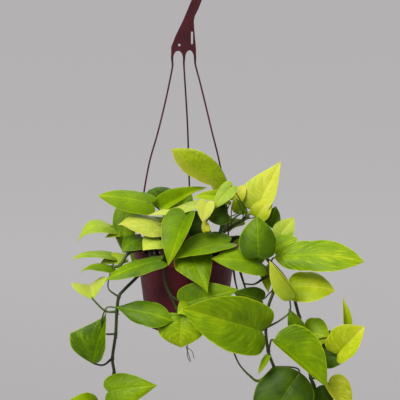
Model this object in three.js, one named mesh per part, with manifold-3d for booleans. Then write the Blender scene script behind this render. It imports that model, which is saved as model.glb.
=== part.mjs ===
// Neon pothos in a plastic hanging pot, with its one-piece hanger.
// Millimetres, +Z up. The origin is the hook's inner crown, where the rod that holds the pot touches it.
import * as THREE from "three";
import { mergeVertices } from "three/addons/utils/BufferGeometryUtils.js";
import Module from "manifold-3d";

// Driving dimensions of the pot. Heights in the pot's frame are above the top of its rim.
const HOOK_SEAT = 377; // from the rim up to the hook's inner crown
const POT_HEIGHT = 115;
const RIM_RADIUS = 75.5;
const RIM_DROP = 13;
const RIM_SKIRT = 1;
const RIM_FLANGE = 2;
const WALL = 1.6;
const WALL_TOP_RADIUS = 71.2;
const WALL_BASE_RADIUS = 58;
const BASE_THICKNESS = 2;
const DRAIN = { count: 6, radius: 3.5, from_centre: 38 };
const GAP = 0.4; // between pieces that touch
const POT_SEGMENTS = 36;

// Driving dimensions of the potting mix.
const MIX_TOP = -16;
const MIX_RADIUS = 67.2;
const MIX_BASE_RADIUS = 55.8;
const MIX_LUMP = 1.2;
const MIX_SEGMENTS = 24;
const MIX_RINGS = [0, 0.36, 0.7, 1]; // shares of its radius
const STEM_HOLE = { radius: 3.9, rise: 8, sides: 6 };

// Driving dimensions of the hanger.
const PLATE = 5; // thickness of the head, the arm and the hook
const HOOK_INSIDE = 13;
const HOOK_CENTRE = HOOK_SEAT - HOOK_INSIDE;
const HOOK_OUTSIDE = 25;
const HOOK_FROM = -23.4; // degrees, where the leaning arm runs into the hook
const HOOK_TO = 190;
const STRAND = { radius: 1.2, sides: 5, steps: 12 };
const EYE = { x: -8.8, z: 291, radius: 1.8 };
const SLOT = { x: 9, z: 301, width: 2.8, length: 18 };
const STRAND_CIRCLE = 72.9;
const BARB = { width: 5.4, tip: 2.2, depth: 1.9, top: -2.6, bottom: -6.6 };
const NOTCH = { width: 3.2, depth: 3 };

// The strands' centre lines, from the head down through the rim's flange.
const STRANDS = [
  { turn: 206, route: [[-18.9, 0, 273], [-18.9, -1, 258], [-28.3, -8, 213], [-39.5, -14, 168],
    [-50.5, -19, 130], [-58.3, -24, 90], [-63.6, -29, 50], [-65.5, -32, 10]] },
  { turn: 326, route: [[13.3, 0, 273], [14, -1, 262], [20, -6, 240], [28, -12, 208], [37, -18, 171],
    [47, -25, 131], [55, -32, 88], [59.5, -38, 45], [60.4, -40.8, 10]] },
  { turn: 86, route: [[-2.2, 0, 273], [-2.2, 2, 258], [2.1, 30, 175], [4, 52, 101], [5, 65.5, 50],
    [5.1, 72.2, 15]] },
];

// Driving dimensions of the plant.
const BLADE = 0.8; // thickness of a leaf
const STEM = { radius: 2.4, sides: 5, steps_a_span: 1.6 };
const STALK = { radius: 1.4, sides: 4, steps: 3, bent_steps: 6 };
const ROOT_RADIUS = 2; // bare stems and aerial roots
const STALK_END = { along: 0.15, under: 0.2 }; // how far it runs on under the blade
const LARGE_LEAF = 51; // width from which a leaf gets the finer grid
const GRID = { large: { rows: 6, half: 2 }, small: { rows: 5, half: 1 } };
const CAMBER = 0.03; // swell of each half of a blade, as a share of its width
const WEDGE = 0.36; // how far the edge moves along the leaf where it has no lobes

// Half of a leaf's edge, from its notch to its tip: along the length, and out to the half width.
const EDGE = [
  [0, 0], [-0.07, 0.25], [-0.085, 0.55], [-0.02, 0.85], [0.15, 1],
  [0.35, 0.98], [0.6, 0.72], [0.8, 0.38], [0.93, 0.12], [1, 0],
];

// Every leafy stem: the joints that its stem runs through, its bare roots, and its leaves.
// A leaf is the joint that its stalk leaves, the notch of its blade, its tip, the side that faces up, its
// width, how far its left and right halves lift in degrees, its arch and the curl of its tip as shares of
// its length, the depth and phase of the waves in its edge, how far its tip narrows, its colour from deep
// green 0 to yellow 1, the bends of its stalk, and its lobes from 1 for a heart to 0 for a wedge, where 1 is
// left out.
const VINES = {
  "upper_left_shoot": {
    "stem": [[-25, -5, -30], [-26, -6, -5], [-28, -8, 20], [-24, -10, 38], [-16, -10, 52]],
    "roots": [],
    "leaves": [
      [3, [-48, -44, 74], [-122, -54, 88], [0, -0.75, 0.65], 40,
        [-10, -26], 0.03, 0.04, 1.5, 0.1, -0.5, 0.4, []],
      [2, [-38, 22, 63], [-53, 62, 73], [-0.1, -0.55, 0.83], 62, [-15, -15], 0.08, 0.1, 2, 0.3, 0, 0.1, []],
      [4, [-35, -30, 63], [30, -8, 90], [-0.25, -0.7, 0.65], 38,
        [50, 45], 0.05, 0.03, 1.5, 0.5, 0.3, 0.5, []],
      [4, [-11, 2, 54], [9, 20, 72], [0.2, -0.8, 0.6], 34, [5, 5], 0.05, 0.05, 1, 0.2, 0, 0.15, []],
      [4, [15, -44, 73], [-59, -54, 60], [0, -0.25, 0.97], 24,
        [-5, -5], -0.04, 0.02, 1, 0.7, -0.3, 0.75, []],
    ],
  },
  "left_shoot": {
    "stem": [[-48, -12, -30], [-50, -14, -5], [-54, -18, 14], [-56, -24, 26], [-52, -34, 30]],
    "roots": [],
    "leaves": [
      [4, [-36, -52, 43], [-93, -66, 52], [-0.1, -0.5, 0.85], 48,
        [-10, -15], 0.06, 0.1, 2, 0.4, 0, 0.85, []],
      [3, [-85, -8, 56], [-89, -24, -6], [-0.2, -0.9, 0.3], 38, [-5, -5], 0.05, 0.05, 1, 0.4, 0, 0.35, []],
      [4, [-61, -50, 25], [-89, -76, 14], [-0.3, -0.6, 0.75], 42,
        [-10, -10], 0.06, 0.1, 1.5, 0.3, 0, 0.2, []],
      [4, [-39, -66, 27], [-59, -86, 17], [-0.2, -0.7, 0.7], 34, [-5, -5], 0.05, 0.05, 1, 0.8, 0, 0.7, []],
    ],
  },
  "left_short_vine": {
    "stem": [[-54, -26, -30], [-55, -28, -8], [-59, -38, 9], [-64, -50, 9], [-71, -54, 7], [-81, -58, 4],
      [-92, -64, -11], [-102, -68, -13]],
    "roots": [],
    "leaves": [
      [5, [-103, -28, 34], [-153, -48, 21], [-0.1, -0.2, 0.97], 36, [-20, 0], 0.24, 0.05, 1, 0.6, 0, 0.6,
        [[-94, -46, 16]]],
      [5, [-94, -36, 27], [-114, -42, 24], [-0.2, -0.4, 0.9], 14, [0, 0], 0.05, 0.05, 0.5, 0.2, 0, 0.6, []],
      [7, [-103, -52, -2], [-159, -68, 3], [0, -0.05, 1], 30, [-5, 10], 0.05, 0.08, 1, 0.1, 0, 0.5, []],
      [6, [-86, -48, -5], [-122, -60, -10], [-0.2, -0.5, 0.8], 24, [0, 0], 0.08, 0.05, 1, 0.5, 0, 0.7, []],
    ],
  },
  "left_trailing_vine": {
    "stem": [[-38, -32, -30], [-39, -36, -6], [-44, -48, 10], [-49, -62, 7], [-50, -68, -5],
      [-68, -76, -25], [-86, -86, -41], [-93, -90, -50], [-96, -91, -71], [-98, -90, -104],
      [-103, -89, -140], [-101, -88, -162], [-104, -86, -191], [-101, -84, -222], [-92, -84, -252]],
    "roots": [],
    "leaves": [
      [7, [-103, -62, -14], [-146, -84, -12],
        [-0.1, -0.3, 0.95], 34, [-15, -60], 0.14, 0.1, 1.5, 0.5, 0, 0.35,
        [[-108, -86, -37]]],
      [8, [-129, -96, -51], [-134, -56, -39],
        [-0.1, -0.75, 0.65], 60, [38, 38], 0.05, 0.05, 1.5, 0.2, 0, 0.85,
        [[-112, -94, -69]], 0],
      [9, [-99, -96, -63], [-18, -118, -74], [0.1, -0.75, 0.65], 36,
        [-5, -10], 0.05, 0.06, 1.5, 0.5, -0.8, 0.25,
        [[-114, -92, -102], [-117, -94, -84], [-110, -96, -64]], -0.8],
      [10, [-131, -98, -145], [-110, -86, -69],
        [-0.1, -0.9, 0.35], 80, [5, 66], 0.04, 0.02, 1.5, 0.6, 1.2, 0.2,
        [[-116, -92, -149]], 0],
      [11, [-109, -104, -184], [-40, -120, -169], [0, -0.9, 0.43], 47,
        [-5, -5], 0.05, 0.05, 2, 0.8, 0, 0.4, []],
      [12, [-127, -90, -220], [-171, -110, -200], [0, -0.7, 0.7], 50,
        [0, 0], 0.05, 0.05, 2, 0.8, 0, 0.5, []],
      [13, [-96, -86, -215], [-56, -96, -247], [0, -0.9, 0.4], 54, [5, 5], 0.05, 0.05, 2, 0.1, 0, 0.2, []],
    ],
  },
  "front_shoot": {
    "stem": [[-5, -36, -30], [-6, -38, -6], [-8, -44, 14], [-6, -52, 26], [2, -56, 32]],
    "roots": [],
    "leaves": [
      [4, [1, -62, 61], [-24, -100, -1], [-0.1, -0.95, 0.3], 56,
        [62, 0], 0.06, 0.04, 1.5, 0.3, 0, 0.35, []],
      [3, [6, -74, 8], [31, -116, -36], [0, -0.8, 0.6], 54, [0, 0], 0.06, 0.04, 2, 0.4, 0.5, 0.35, []],
    ],
  },
  "front_vine": {
    "stem": [[-22, -40, -30], [-23, -44, -6], [-27, -59, 10], [-29, -72, 9], [-30, -77, -12],
      [-27, -80, -35], [-20, -83, -51], [-13, -85, -67], [-8, -85, -91], [0, -84, -122], [7, -84, -146]],
    "roots": [],
    "leaves": [
      [3, [-35, -88, 2], [-112, -108, -21], [-0.05, -0.35, 0.93], 34,
        [-15, -5], 0.05, 0.02, 1.5, 0.3, -0.3, 0.3, []],
      [6, [-3, -92, -59], [73, -102, -35], [0, -0.93, 0.37], 47, [0, -8], 0.05, 0.05, 2, 0.2, 0, 0.35, []],
      [7, [-6, -106, -72], [-6, -120, -114], [0, -0.85, 0.5], 55,
        [0, 0], 0.08, 0.1, 2.5, 0.5, -1.2, 0.45, []],
      [7, [4, -103, -60], [-11, -112, -67], [0, -0.8, 0.6], 24, [0, 0], 0.05, 0.05, 1, 0.5, 0, 0.6, []],
    ],
  },
  "centre_right_vine": {
    "stem": [[42, -36, -30], [43, -40, -6], [50, -52, 12], [64, -62, 12], [97, -72, -1], [119, -82, -20],
      [123, -88, -40], [116, -92, -62], [112, -96, -93], [116, -95, -128], [125, -82, -156],
      [136, -84, -189], [148, -88, -223]],
    "roots": [
      [[125, -82, -156], [104, -90, -173], [90, -97, -163], [76, -104, -145], [68, -108, -127]],
      [[64, -62, 12], [72, -66, -6], [80, -71, -30], [88, -80, -56], [92, -84, -76]],
      [[119, -82, -20], [108, -76, -28], [96, -74, -36], [82, -72, -36]],
      [[64, -62, 12], [66, -66, -8], [70, -71, -34], [76, -77, -56]],
    ],
    "leaves": [
      [8, [106, -104, -95], [-4, -134, -54], [0, -0.93, 0.38], 79,
        [6, 24], 0.03, 0.05, 2.5, 0.1, -0.4, 0.4, []],
      [4, [106, -80, -4], [37, -100, 9], [0, -0.75, 0.65], 44, [5, -5], 0.04, 0.04, 2, 0.1, -0.2, 0.4, []],
      [9, [123, -112, -105], [198, -128, -167], [0.05, -0.95, 0.3], 82,
        [8, 86], 0.04, 0.04, 2.5, 0.4, -0.2, 0.4, [], 0.5],
      [8, [144, -66, -42], [209, -82, -42], [0, -0.7, 0.7], 46, [0, -5], 0.06, 0.04, 2, 0.4, -0.7, 0.7,
        [[131, -92, -84], [146, -86, -72], [146, -72, -56]], 0.5],
      [10, [161, -98, -157], [103, -122, -242], [-0.1, -0.9, 0.4], 80,
        [-8, -8], 0.08, 0.04, 2, 0.4, -0.3, 0.1, [], 0.2],
      [9, [115, -106, -131], [101, -110, -157], [-0.2, -0.9, 0.4], 10,
        [20, 20], 0.04, 0.04, 0.5, 0.4, 0, 0.5, []],
      [4, [101, -94, 8], [99, -74, 63], [0, -0.9, 0.4], 54,
        [-20, -20], 0.05, 0.03, 2, 0.4, -0.3, 0.2, [], 0.6],
      [6, [107, -80, -57], [66, -86, -44], [0, -0.9, 0.4], 30, [0, 0], 0.05, 0.03, 1, 0.4, 0, 0.1, []],
    ],
  },
  "far_right_vine": {
    "stem": [[56, -4, -30], [58, -5, -6], [70, -12, 14], [88, -24, 12], [140, -56, -32], [160, -70, -84],
      [168, -80, -123], [177, -84, -171], [188, -86, -206], [194, -86, -239]],
    "roots": [],
    "leaves": [
      [5, [161, -80, -107], [145, -73, -72], [-0.2, -0.9, 0.4], 24,
        [10, 10], 0.05, 0.04, 1, 0.4, 0, 0.3, []],
      [7, [184, -88, -185], [182, -98, -241], [0.1, -0.9, 0.4], 50, [5, 5], 0.04, 0.04, 2, 0.4, 0, 0.1, []],
      [7, [201, -92, -176], [233, -104, -223], [0.1, -0.9, 0.4], 50,
        [5, 70], 0.04, 0.04, 2, 0.4, 0, 0.85, []],
      [5, [169, -60, -110], [204, -74, -114], [0.1, -0.85, 0.5], 44,
        [0, 0], 0.05, 0.05, 1.5, 0.4, -0.8, 0.5, []],
      [6, [213, -90, -133], [249, -100, -90], [0.1, -0.9, 0.4], 52,
        [5, 60], 0.04, 0.04, 1.5, 0.4, -0.9, 0.75, []],
      [6, [225, -76, -104], [222, -70, -57], [0.5, -0.8, 0.3], 21,
        [45, 45], 0.02, 0.02, 0.5, 0.4, 0, 0.75, []],
      [6, [192, -68, -134], [241, -78, -132], [0, -0.85, 0.5], 54,
        [0, 0], 0.06, 0.06, 2, 0.4, -0.2, 0.2, []],
    ],
  },
  "right_shoot": {
    "stem": [[54, -22, -30], [56, -24, -6], [62, -28, 16], [78, -36, 22], [98, -44, 10], [120, -54, -12],
      [136, -66, -40]],
    "roots": [],
    "leaves": [
      [5, [124, -62, 0], [248, -90, 4], [0, -0.6, 0.8], 44,
        [10, -20], 0.06, 0.04, 2.5, 0.4, -1.2, 0.45, [], 0.1],
      [3, [120, -24, 35], [129, -6, 61], [0.1, -0.8, 0.6], 26, [25, 25], 0.05, 0.03, 0.5, 0.4, 0, 0.2, []],
      [4, [133, -39, 25], [154, -21, 48], [0.1, -0.8, 0.6], 30, [5, 5], 0.05, 0.03, 1, 0.4, 0, 0.7, []],
      [4, [126, -50, 10], [158, -50, 25], [0.1, -0.7, 0.7], 32, [0, 0], 0.05, 0.03, 1, 0.4, 0, 0.5, []],
      [6, [154, -94, -49], [116, -98, 4], [-0.1, -0.95, 0.3], 40,
        [10, 80], 0.03, 0.03, 1.5, 0.4, 0, 0.75, [], 0.3],
      [5, [113, -65, -14], [116, -76, -48], [-0.2, -0.9, 0.3], 18,
        [10, 10], 0.03, 0.03, 0.5, 0.4, 0, 0.5, []],
    ],
  },
  "upper_right_shoot": {
    "stem": [[38, -14, -30], [40, -16, -4], [48, -24, 20], [64, -32, 36], [80, -38, 47], [90, -42, 54]],
    "roots": [],
    "leaves": [
      [4, [101, -20, 61], [136, 8, 124], [-0.1, -0.88, 0.45], 62,
        [10, 52], 0.03, 0.02, 2, 0.4, 0.4, 0.85, []],
      [4, [100, -40, 54], [123, -30, 78], [0.1, -0.75, 0.65], 28, [0, 0], 0.05, 0.03, 1, 0.4, 0, 0.75, []],
      [3, [68, -25, 74], [86, -8, 93], [0, -0.8, 0.6], 22, [0, 0], 0.05, 0.03, 1, 0.4, 0, 0.9, []],
      [4, [82, -50, 61], [70, -48, 82], [0.5, -0.5, 0.7], 13, [0, 0], 0.1, 0.02, 0.5, 0.4, 0, 0.2, []],
      [4, [65, -66, 103], [37, -74, 71], [-0.2, -0.8, 0.5], 24, [8, 8], 0.05, 0.02, 1, 0.1, 0, 0.6,
        [[86, -52, 64], [78, -60, 79]]],
    ],
  },
  "top_shoot": {
    "stem": [[26, -42, -30], [28, -44, -5], [38, -48, 14], [48, -50, 32], [51, -50, 48], [50, -50, 62]],
    "roots": [],
    "leaves": [
      [5, [61, -50, 94], [-20, -34, 150], [0.5, -0.3, 0.8], 58,
        [-75, -85], 0.25, 0.02, 1.5, 0.1, -2.2, 0.55, []],
      [2, [61, -66, 22], [-16, -92, 8], [0, -0.6, 0.8], 48,
        [35, -5], 0.05, 0.03, 1.5, 0.6, -0.9, 0.35, []],
      [4, [60, -57, 82], [10, -61, 87], [0, -0.5, 0.85], 22, [-5, 45], 0.08, 0.05, 1, 0.1, 0, 0.55, []],
      [4, [30, -77, 83], [24, -84, 55], [-0.2, -0.85, 0.5], 25, [10, 10], 0.04, 0.02, 1, 0.1, 0, 0.9, []],
      [4, [58, -60, 63], [29, -68, 58], [0, -0.85, 0.5], 29, [0, 0], 0.06, 0.02, 0.5, 0.1, -0.8, 0.05, []],
      [4, [74, -42, 62], [67, -36, 77], [-0.2, -0.85, 0.5], 14, [5, 5], 0.04, 0.02, 0.5, 0.1, 0, 0.6, []],
      [3, [29, -78, 42], [26, -72, 58], [0, -0.9, 0.4], 12, [0, 0], 0.04, 0.02, 0.5, 0.1, 0, 0.9, []],
      [1, [29, -39, 43], [-14, -36, 36], [0, -0.8, 0.6], 42, [0, 0], 0.05, 0.03, 1, 0.3, 0, 0.05, []],
    ],
  },
  "back_left_shoot": {
    "stem": [[-36, 24, -30], [-39, 30, -2], [-46, 44, 18], [-52, 56, 24]],
    "roots": [],
    "leaves": [
      [3, [-65, 52, 38], [-104, 80, 17], [-0.4, 0.4, 0.8], 52, [-8, -8], 0.08, 0.06, 2, 0.1, 0, 0.4, []],
      [3, [-42, 78, 24], [-50, 124, -6], [0, 0.6, 0.8], 56, [-8, -8], 0.08, 0.06, 2, 0.3, 0, 0.5, []],
      [2, [-70, 30, 30], [-116, 32, 20], [-0.2, 0.1, 0.97], 50, [-8, -8], 0.1, 0.06, 2, 0.6, 0, 0.6, []],
    ],
  },
  "back_shoot": {
    "stem": [[-6, 38, -30], [-7, 44, 0], [-9, 56, 20], [-10, 66, 28]],
    "roots": [],
    "leaves": [
      [3, [-8, 86, 32], [-10, 136, 4], [0, 0.55, 0.83], 66, [-8, -8], 0.08, 0.06, 2, 0.7, 0, 0.3, []],
      [2, [-16, 54, 46], [-42, 38, 62], [0.1, 0.4, 0.9], 44, [10, 10], 0.06, 0.04, 1.5, 0.5, 0, 0.8, []],
    ],
  },
  "back_right_shoot": {
    "stem": [[44, 18, -30], [48, 24, 0], [56, 34, 18], [66, 44, 26]],
    "roots": [],
    "leaves": [
      [3, [85, 46, 40], [130, 60, 20], [0.35, 0.3, 0.85], 52, [-8, -8], 0.08, 0.06, 2, 0.8, 0, 0.45, []],
      [3, [58, 76, 24], [66, 124, -7], [0.15, 0.6, 0.8], 56, [-8, -8], 0.08, 0.06, 2, 0.1, 0, 0.5, []],
      [2, [28, 84, 42], [52, 118, 30], [0.3, 0.5, 0.8], 50, [5, 5], 0.06, 0.06, 2, 0.2, 0, 0.7, []],
      [2, [48, 32, 48], [24, 10, 60], [0.1, 0.1, 0.97], 42, [8, 8], 0.06, 0.04, 1.5, 0.3, 0, 0.65, []],
    ],
  },
  "back_left_vine": {
    "stem": [[-22, 44, -30], [-24, 52, -2], [-30, 72, 10], [-34, 85, -4], [-36, 87, -36], [-30, 86, -68],
      [-26, 84, -100]],
    "roots": [],
    "leaves": [
      [4, [-54, 98, -22], [-66, 106, -84], [-0.2, 0.95, 0.1], 56, [5, 5], 0.05, 0.06, 2, 0.5, 0, 0.4, []],
      [5, [-12, 102, -46], [-7, 108, -108], [0.1, 0.95, 0.2], 62, [5, 5], 0.05, 0.06, 2, 0.2, 0, 0.35, []],
    ],
  },
  "back_right_vine": {
    "stem": [[22, 44, -30], [24, 52, -2], [30, 72, 10], [36, 85, -6], [38, 87, -40], [34, 86, -76],
      [30, 84, -100]],
    "roots": [],
    "leaves": [
      [4, [54, 98, -16], [62, 106, -76], [0.2, 0.95, 0.1], 60, [5, 5], 0.05, 0.06, 2, 0.4, 0, 0.45, []],
      [5, [26, 94, -70], [40, 98, -118], [0.1, 0.95, 0.2], 54, [5, 5], 0.05, 0.06, 2, 0.9, 0, 0.5, []],
    ],
  },
};

const wasm = await Module();
wasm.setup();
const place = (point) => new THREE.Vector3(...point);
const radians = THREE.MathUtils.degToRad;

// A closed geometry as a solid that can be joined and cut.
function solid(geometry) {
  const bare = geometry.index ? geometry.toNonIndexed() : geometry.clone();
  bare.deleteAttribute("normal");
  bare.deleteAttribute("uv");
  const merged = mergeVertices(bare, 1e-3);
  const corners = merged.index.array;
  const faces = [];
  for (let i = 0; i < corners.length; i += 3) {
    const [a, b, c] = corners.slice(i, i + 3);
    if (a !== b && b !== c && c !== a) faces.push(a, b, c);
  }
  return new wasm.Manifold(new wasm.Mesh({
    numProp: 3,
    vertProperties: merged.attributes.position.array,
    triVerts: new Uint32Array(faces),
  }));
}

// Several solids fused in one.
function fused(solids) {
  return solids.reduce((whole, next) => whole.add(next));
}

// A solid as a named mesh in its own finish.
function piece(name, body, finish) {
  const made = body.getMesh();
  const geometry = new THREE.BufferGeometry();
  geometry.setAttribute("position", new THREE.BufferAttribute(made.vertProperties, 3));
  geometry.setIndex(new THREE.BufferAttribute(made.triVerts, 1));
  geometry.computeVertexNormals();
  const mesh = new THREE.Mesh(geometry, new THREE.MeshStandardMaterial(finish));
  mesh.name = name;
  return mesh;
}

// A round bar of few sides along a smooth line through the points.
function bar(points, radius, sides, steps) {
  const section = new THREE.Shape();
  for (let i = 0; i < sides; i++) {
    const turn = (i / sides) * 2 * Math.PI;
    const corner = [radius * Math.cos(turn), radius * Math.sin(turn)];
    if (i === 0) section.moveTo(...corner);
    else section.lineTo(...corner);
  }
  const extrudePath = new THREE.CatmullRomCurve3(points, false, "catmullrom", 0.5);
  return solid(new THREE.ExtrudeGeometry(section, { steps, bevelEnabled: false, extrudePath }));
}

// A profile of radius and height turned round the pot's axis.
function turned(profile, segments) {
  const points = profile.map(([r, z]) => new THREE.Vector2(r, z));
  return new THREE.LatheGeometry(points, segments).rotateX(Math.PI / 2);
}

// A flat outline in X and Z with its thickness centred on Y.
function plate(outline, thickness, curveSegments) {
  const flat = new THREE.ExtrudeGeometry(outline, { depth: thickness, bevelEnabled: false, curveSegments });
  return solid(flat.translate(0, 0, -thickness / 2).rotateX(Math.PI / 2));
}

// The pot: one moulded shell with a flat base, a tapering wall, and a flanged rim with a turned-down skirt.
const wallSlope = (WALL_TOP_RADIUS - WALL_BASE_RADIUS) / (POT_HEIGHT - RIM_FLANGE);
const innerTop = WALL_TOP_RADIUS - WALL;
const innerBase = innerTop - wallSlope * (POT_HEIGHT - BASE_THICKNESS);
let pot = solid(turned([
  [0, -POT_HEIGHT],
  [WALL_BASE_RADIUS - 1, -POT_HEIGHT],
  [WALL_BASE_RADIUS, -POT_HEIGHT + 1],
  [WALL_TOP_RADIUS, -RIM_FLANGE],
  [RIM_RADIUS - RIM_SKIRT, -RIM_FLANGE],
  [RIM_RADIUS - RIM_SKIRT, -RIM_DROP],
  [RIM_RADIUS, -RIM_DROP],
  [RIM_RADIUS, -1],
  [RIM_RADIUS - 1, 0],
  [innerTop + 0.8, 0],
  [innerTop, -1],
  [innerBase, -POT_HEIGHT + BASE_THICKNESS],
  [0, -POT_HEIGHT + BASE_THICKNESS],
], POT_SEGMENTS));
for (let i = 0; i < DRAIN.count; i++) {
  const turn = (i / DRAIN.count) * 2 * Math.PI;
  const hole = new THREE.CylinderGeometry(DRAIN.radius, DRAIN.radius, 3 * BASE_THICKNESS, 8)
    .rotateX(Math.PI / 2)
    .translate(DRAIN.from_centre * Math.cos(turn), DRAIN.from_centre * Math.sin(turn), -POT_HEIGHT);
  pot = pot.subtract(solid(hole));
}
for (const { turn } of STRANDS) {
  const notch = new THREE.BoxGeometry(NOTCH.depth, NOTCH.width, 3 * RIM_FLANGE)
    .translate(STRAND_CIRCLE, 0, 0)
    .rotateZ(radians(turn));
  pot = pot.subtract(solid(notch));
}

// The potting mix: fills the pot to below its rim, with a lumpy top and a plain hole for each stem.
const mixBody = turned([
  [0, -POT_HEIGHT + BASE_THICKNESS + GAP],
  [MIX_BASE_RADIUS, -POT_HEIGHT + BASE_THICKNESS + GAP],
  ...MIX_RINGS.toReversed().map((share) => [share * MIX_RADIUS, MIX_TOP]),
], MIX_SEGMENTS);
const mixPoints = mixBody.attributes.position;
for (let i = 0; i < mixPoints.count; i++) {
  const [x, y, z] = [mixPoints.getX(i), mixPoints.getY(i), mixPoints.getZ(i)];
  const lump = MIX_LUMP * (Math.sin(0.21 * x + 1) * Math.cos(0.17 * y) + Math.sin(0.1 * x + 0.23 * y));
  const inside = Math.hypot(x, y) < MIX_RADIUS - 1;
  if (z > MIX_TOP - 1 && inside) mixPoints.setZ(i, z + lump);
}
let mix = solid(mixBody);
for (const { stem } of Object.values(VINES)) {
  const [root, first] = stem.slice(0, 2).map(place);
  const rise = first.clone().sub(root).normalize();
  const below = root.clone().addScaledVector(rise, -GAP);
  const above = first.clone().addScaledVector(rise, STEM_HOLE.rise);
  mix = mix.subtract(bar([below, above], STEM_HOLE.radius, STEM_HOLE.sides, 1));
}

// The hanger: head, arm and hook in one flat plate.
const hookFrom = radians(HOOK_FROM);
const hookTo = radians(HOOK_TO);
const hookMiddle = (HOOK_INSIDE + HOOK_OUTSIDE) / 2;
const hookTip = [hookMiddle * Math.cos(hookTo), HOOK_CENTRE + hookMiddle * Math.sin(hookTo)];
const headOutline = new THREE.Shape();
headOutline.moveTo(-20.4, 272);
headOutline.lineTo(-17.4, 272);
headOutline.quadraticCurveTo(-16.4, 282.6, -10.5, 282.8);
headOutline.quadraticCurveTo(-4.6, 282.6, -3.7, 272);
headOutline.lineTo(-0.7, 272);
headOutline.quadraticCurveTo(0.2, 283.2, 5.6, 283.6);
headOutline.quadraticCurveTo(11, 283.2, 11.8, 272);
headOutline.lineTo(14.8, 272);
headOutline.lineTo(14.6, 286);
headOutline.lineTo(13, 303.9);
headOutline.lineTo(11.7, 325.3);
headOutline.lineTo(13.1, 331.7);
headOutline.lineTo(18.1, 341.6);
headOutline.absarc(0, HOOK_CENTRE, HOOK_OUTSIDE, hookFrom, hookTo, false);
headOutline.absarc(...hookTip, (HOOK_OUTSIDE - HOOK_INSIDE) / 2, hookTo, hookTo + Math.PI, false);
headOutline.absarc(0, HOOK_CENTRE, HOOK_INSIDE, hookTo, hookFrom, true);
headOutline.lineTo(8.5, 353.8);
headOutline.lineTo(-3.3, 325.8);
headOutline.lineTo(-14, 303.9);
headOutline.lineTo(-20.2, 288.1);
const eye = new THREE.CylinderGeometry(EYE.radius, EYE.radius, 3 * PLATE, 10).translate(EYE.x, 0, EYE.z);
const slot = new THREE.BoxGeometry(SLOT.width, 3 * PLATE, SLOT.length).translate(SLOT.x, 0, SLOT.z);
let hanger = plate(headOutline, PLATE, 12).subtract(solid(eye)).subtract(solid(slot));

// Its strands, each with the barb that snaps under the rim's flange.
for (const { turn, route } of STRANDS) {
  const foot = place([STRAND_CIRCLE * Math.cos(radians(turn)), STRAND_CIRCLE * Math.sin(radians(turn)), 0]);
  const end = foot.clone().setZ(BARB.top - 1);
  const straight = foot.clone().setZ(4);
  const strand = bar([...route.map(place), straight, end], STRAND.radius, STRAND.sides, STRAND.steps);
  const wedge = new THREE.Shape();
  wedge.moveTo(-BARB.width / 2, BARB.top);
  wedge.lineTo(-BARB.tip / 2, BARB.bottom);
  wedge.lineTo(BARB.tip / 2, BARB.bottom);
  wedge.lineTo(BARB.width / 2, BARB.top);
  const barb = new THREE.ExtrudeGeometry(wedge, { depth: BARB.depth, bevelEnabled: false })
    .translate(0, 0, -BARB.depth / 2)
    .rotateX(Math.PI / 2)
    .rotateZ(Math.PI / 2)
    .translate(STRAND_CIRCLE, 0, 0)
    .rotateZ(radians(turn));
  hanger = hanger.add(strand).add(solid(barb));
}

// A point on a leaf's middle surface: along runs 0 to 1 from notch to tip, and across -1 to 1 between its
// edges.
const edgeCurve = new THREE.SplineCurve(EDGE.map(([x, y]) => new THREE.Vector2(x, y)));
function bladePoint(leaf, along, across) {
  const { base, length, forward, left, up, width, lift, arch, curl, wave, phase, slim, lobes } = leaf;
  const edge = edgeCurve.getPoint(along);
  const out = Math.abs(across);
  const side = Math.sign(across);
  const rib = along ** 1.6;
  const wedge = WEDGE * (1 - lobes) * Math.sin(Math.PI * along) * (1 - along);
  const x = rib + out * (edge.x + wedge - rib);
  const taper = THREE.MathUtils.clamp((along - 0.5) / 0.4, 0, 1);
  const y = (width / 2) * edge.y * (1 - slim * taper) * out;
  const soft = 0.05 * width;
  const reach = Math.hypot(y, soft) - soft;
  const angle = radians(across > 0 ? lift[0] : lift[1]);
  const flat = y - reach + reach * Math.cos(angle);
  const ripple = Math.sin(2 * Math.PI * (1.6 * along + phase + 0.3 * side));
  const height = reach * Math.sin(angle)
    + CAMBER * width * edge.y * Math.sin(Math.PI * out)
    + arch * length * 4 * x * (1 - x)
    - curl * length * Math.max(0, (x - 0.55) / 0.45) ** 2
    + wave * out ** 3 * ripple * Math.min(1, 5.2 * along * (1 - along));
  return base.clone()
    .addScaledVector(forward, x * length)
    .addScaledVector(left, side * flat)
    .addScaledVector(up, height);
}

// The leaf's own frame and sizes, from its row in the table.
function leafOf(row) {
  const [joint, base, tip, side, width, lift, arch, curl, wave, phase, slim, tone, bends, lobes = 1] = row;
  const forward = place(tip).sub(place(base));
  const length = forward.length();
  forward.normalize();
  const up = place(side).addScaledVector(forward, -place(side).dot(forward)).normalize();
  const left = new THREE.Vector3().crossVectors(up, forward);
  return { joint, base: place(base), length, forward, left, up, width, lift, arch, curl, wave, phase, slim,
    tone, bends, lobes };
}

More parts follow.
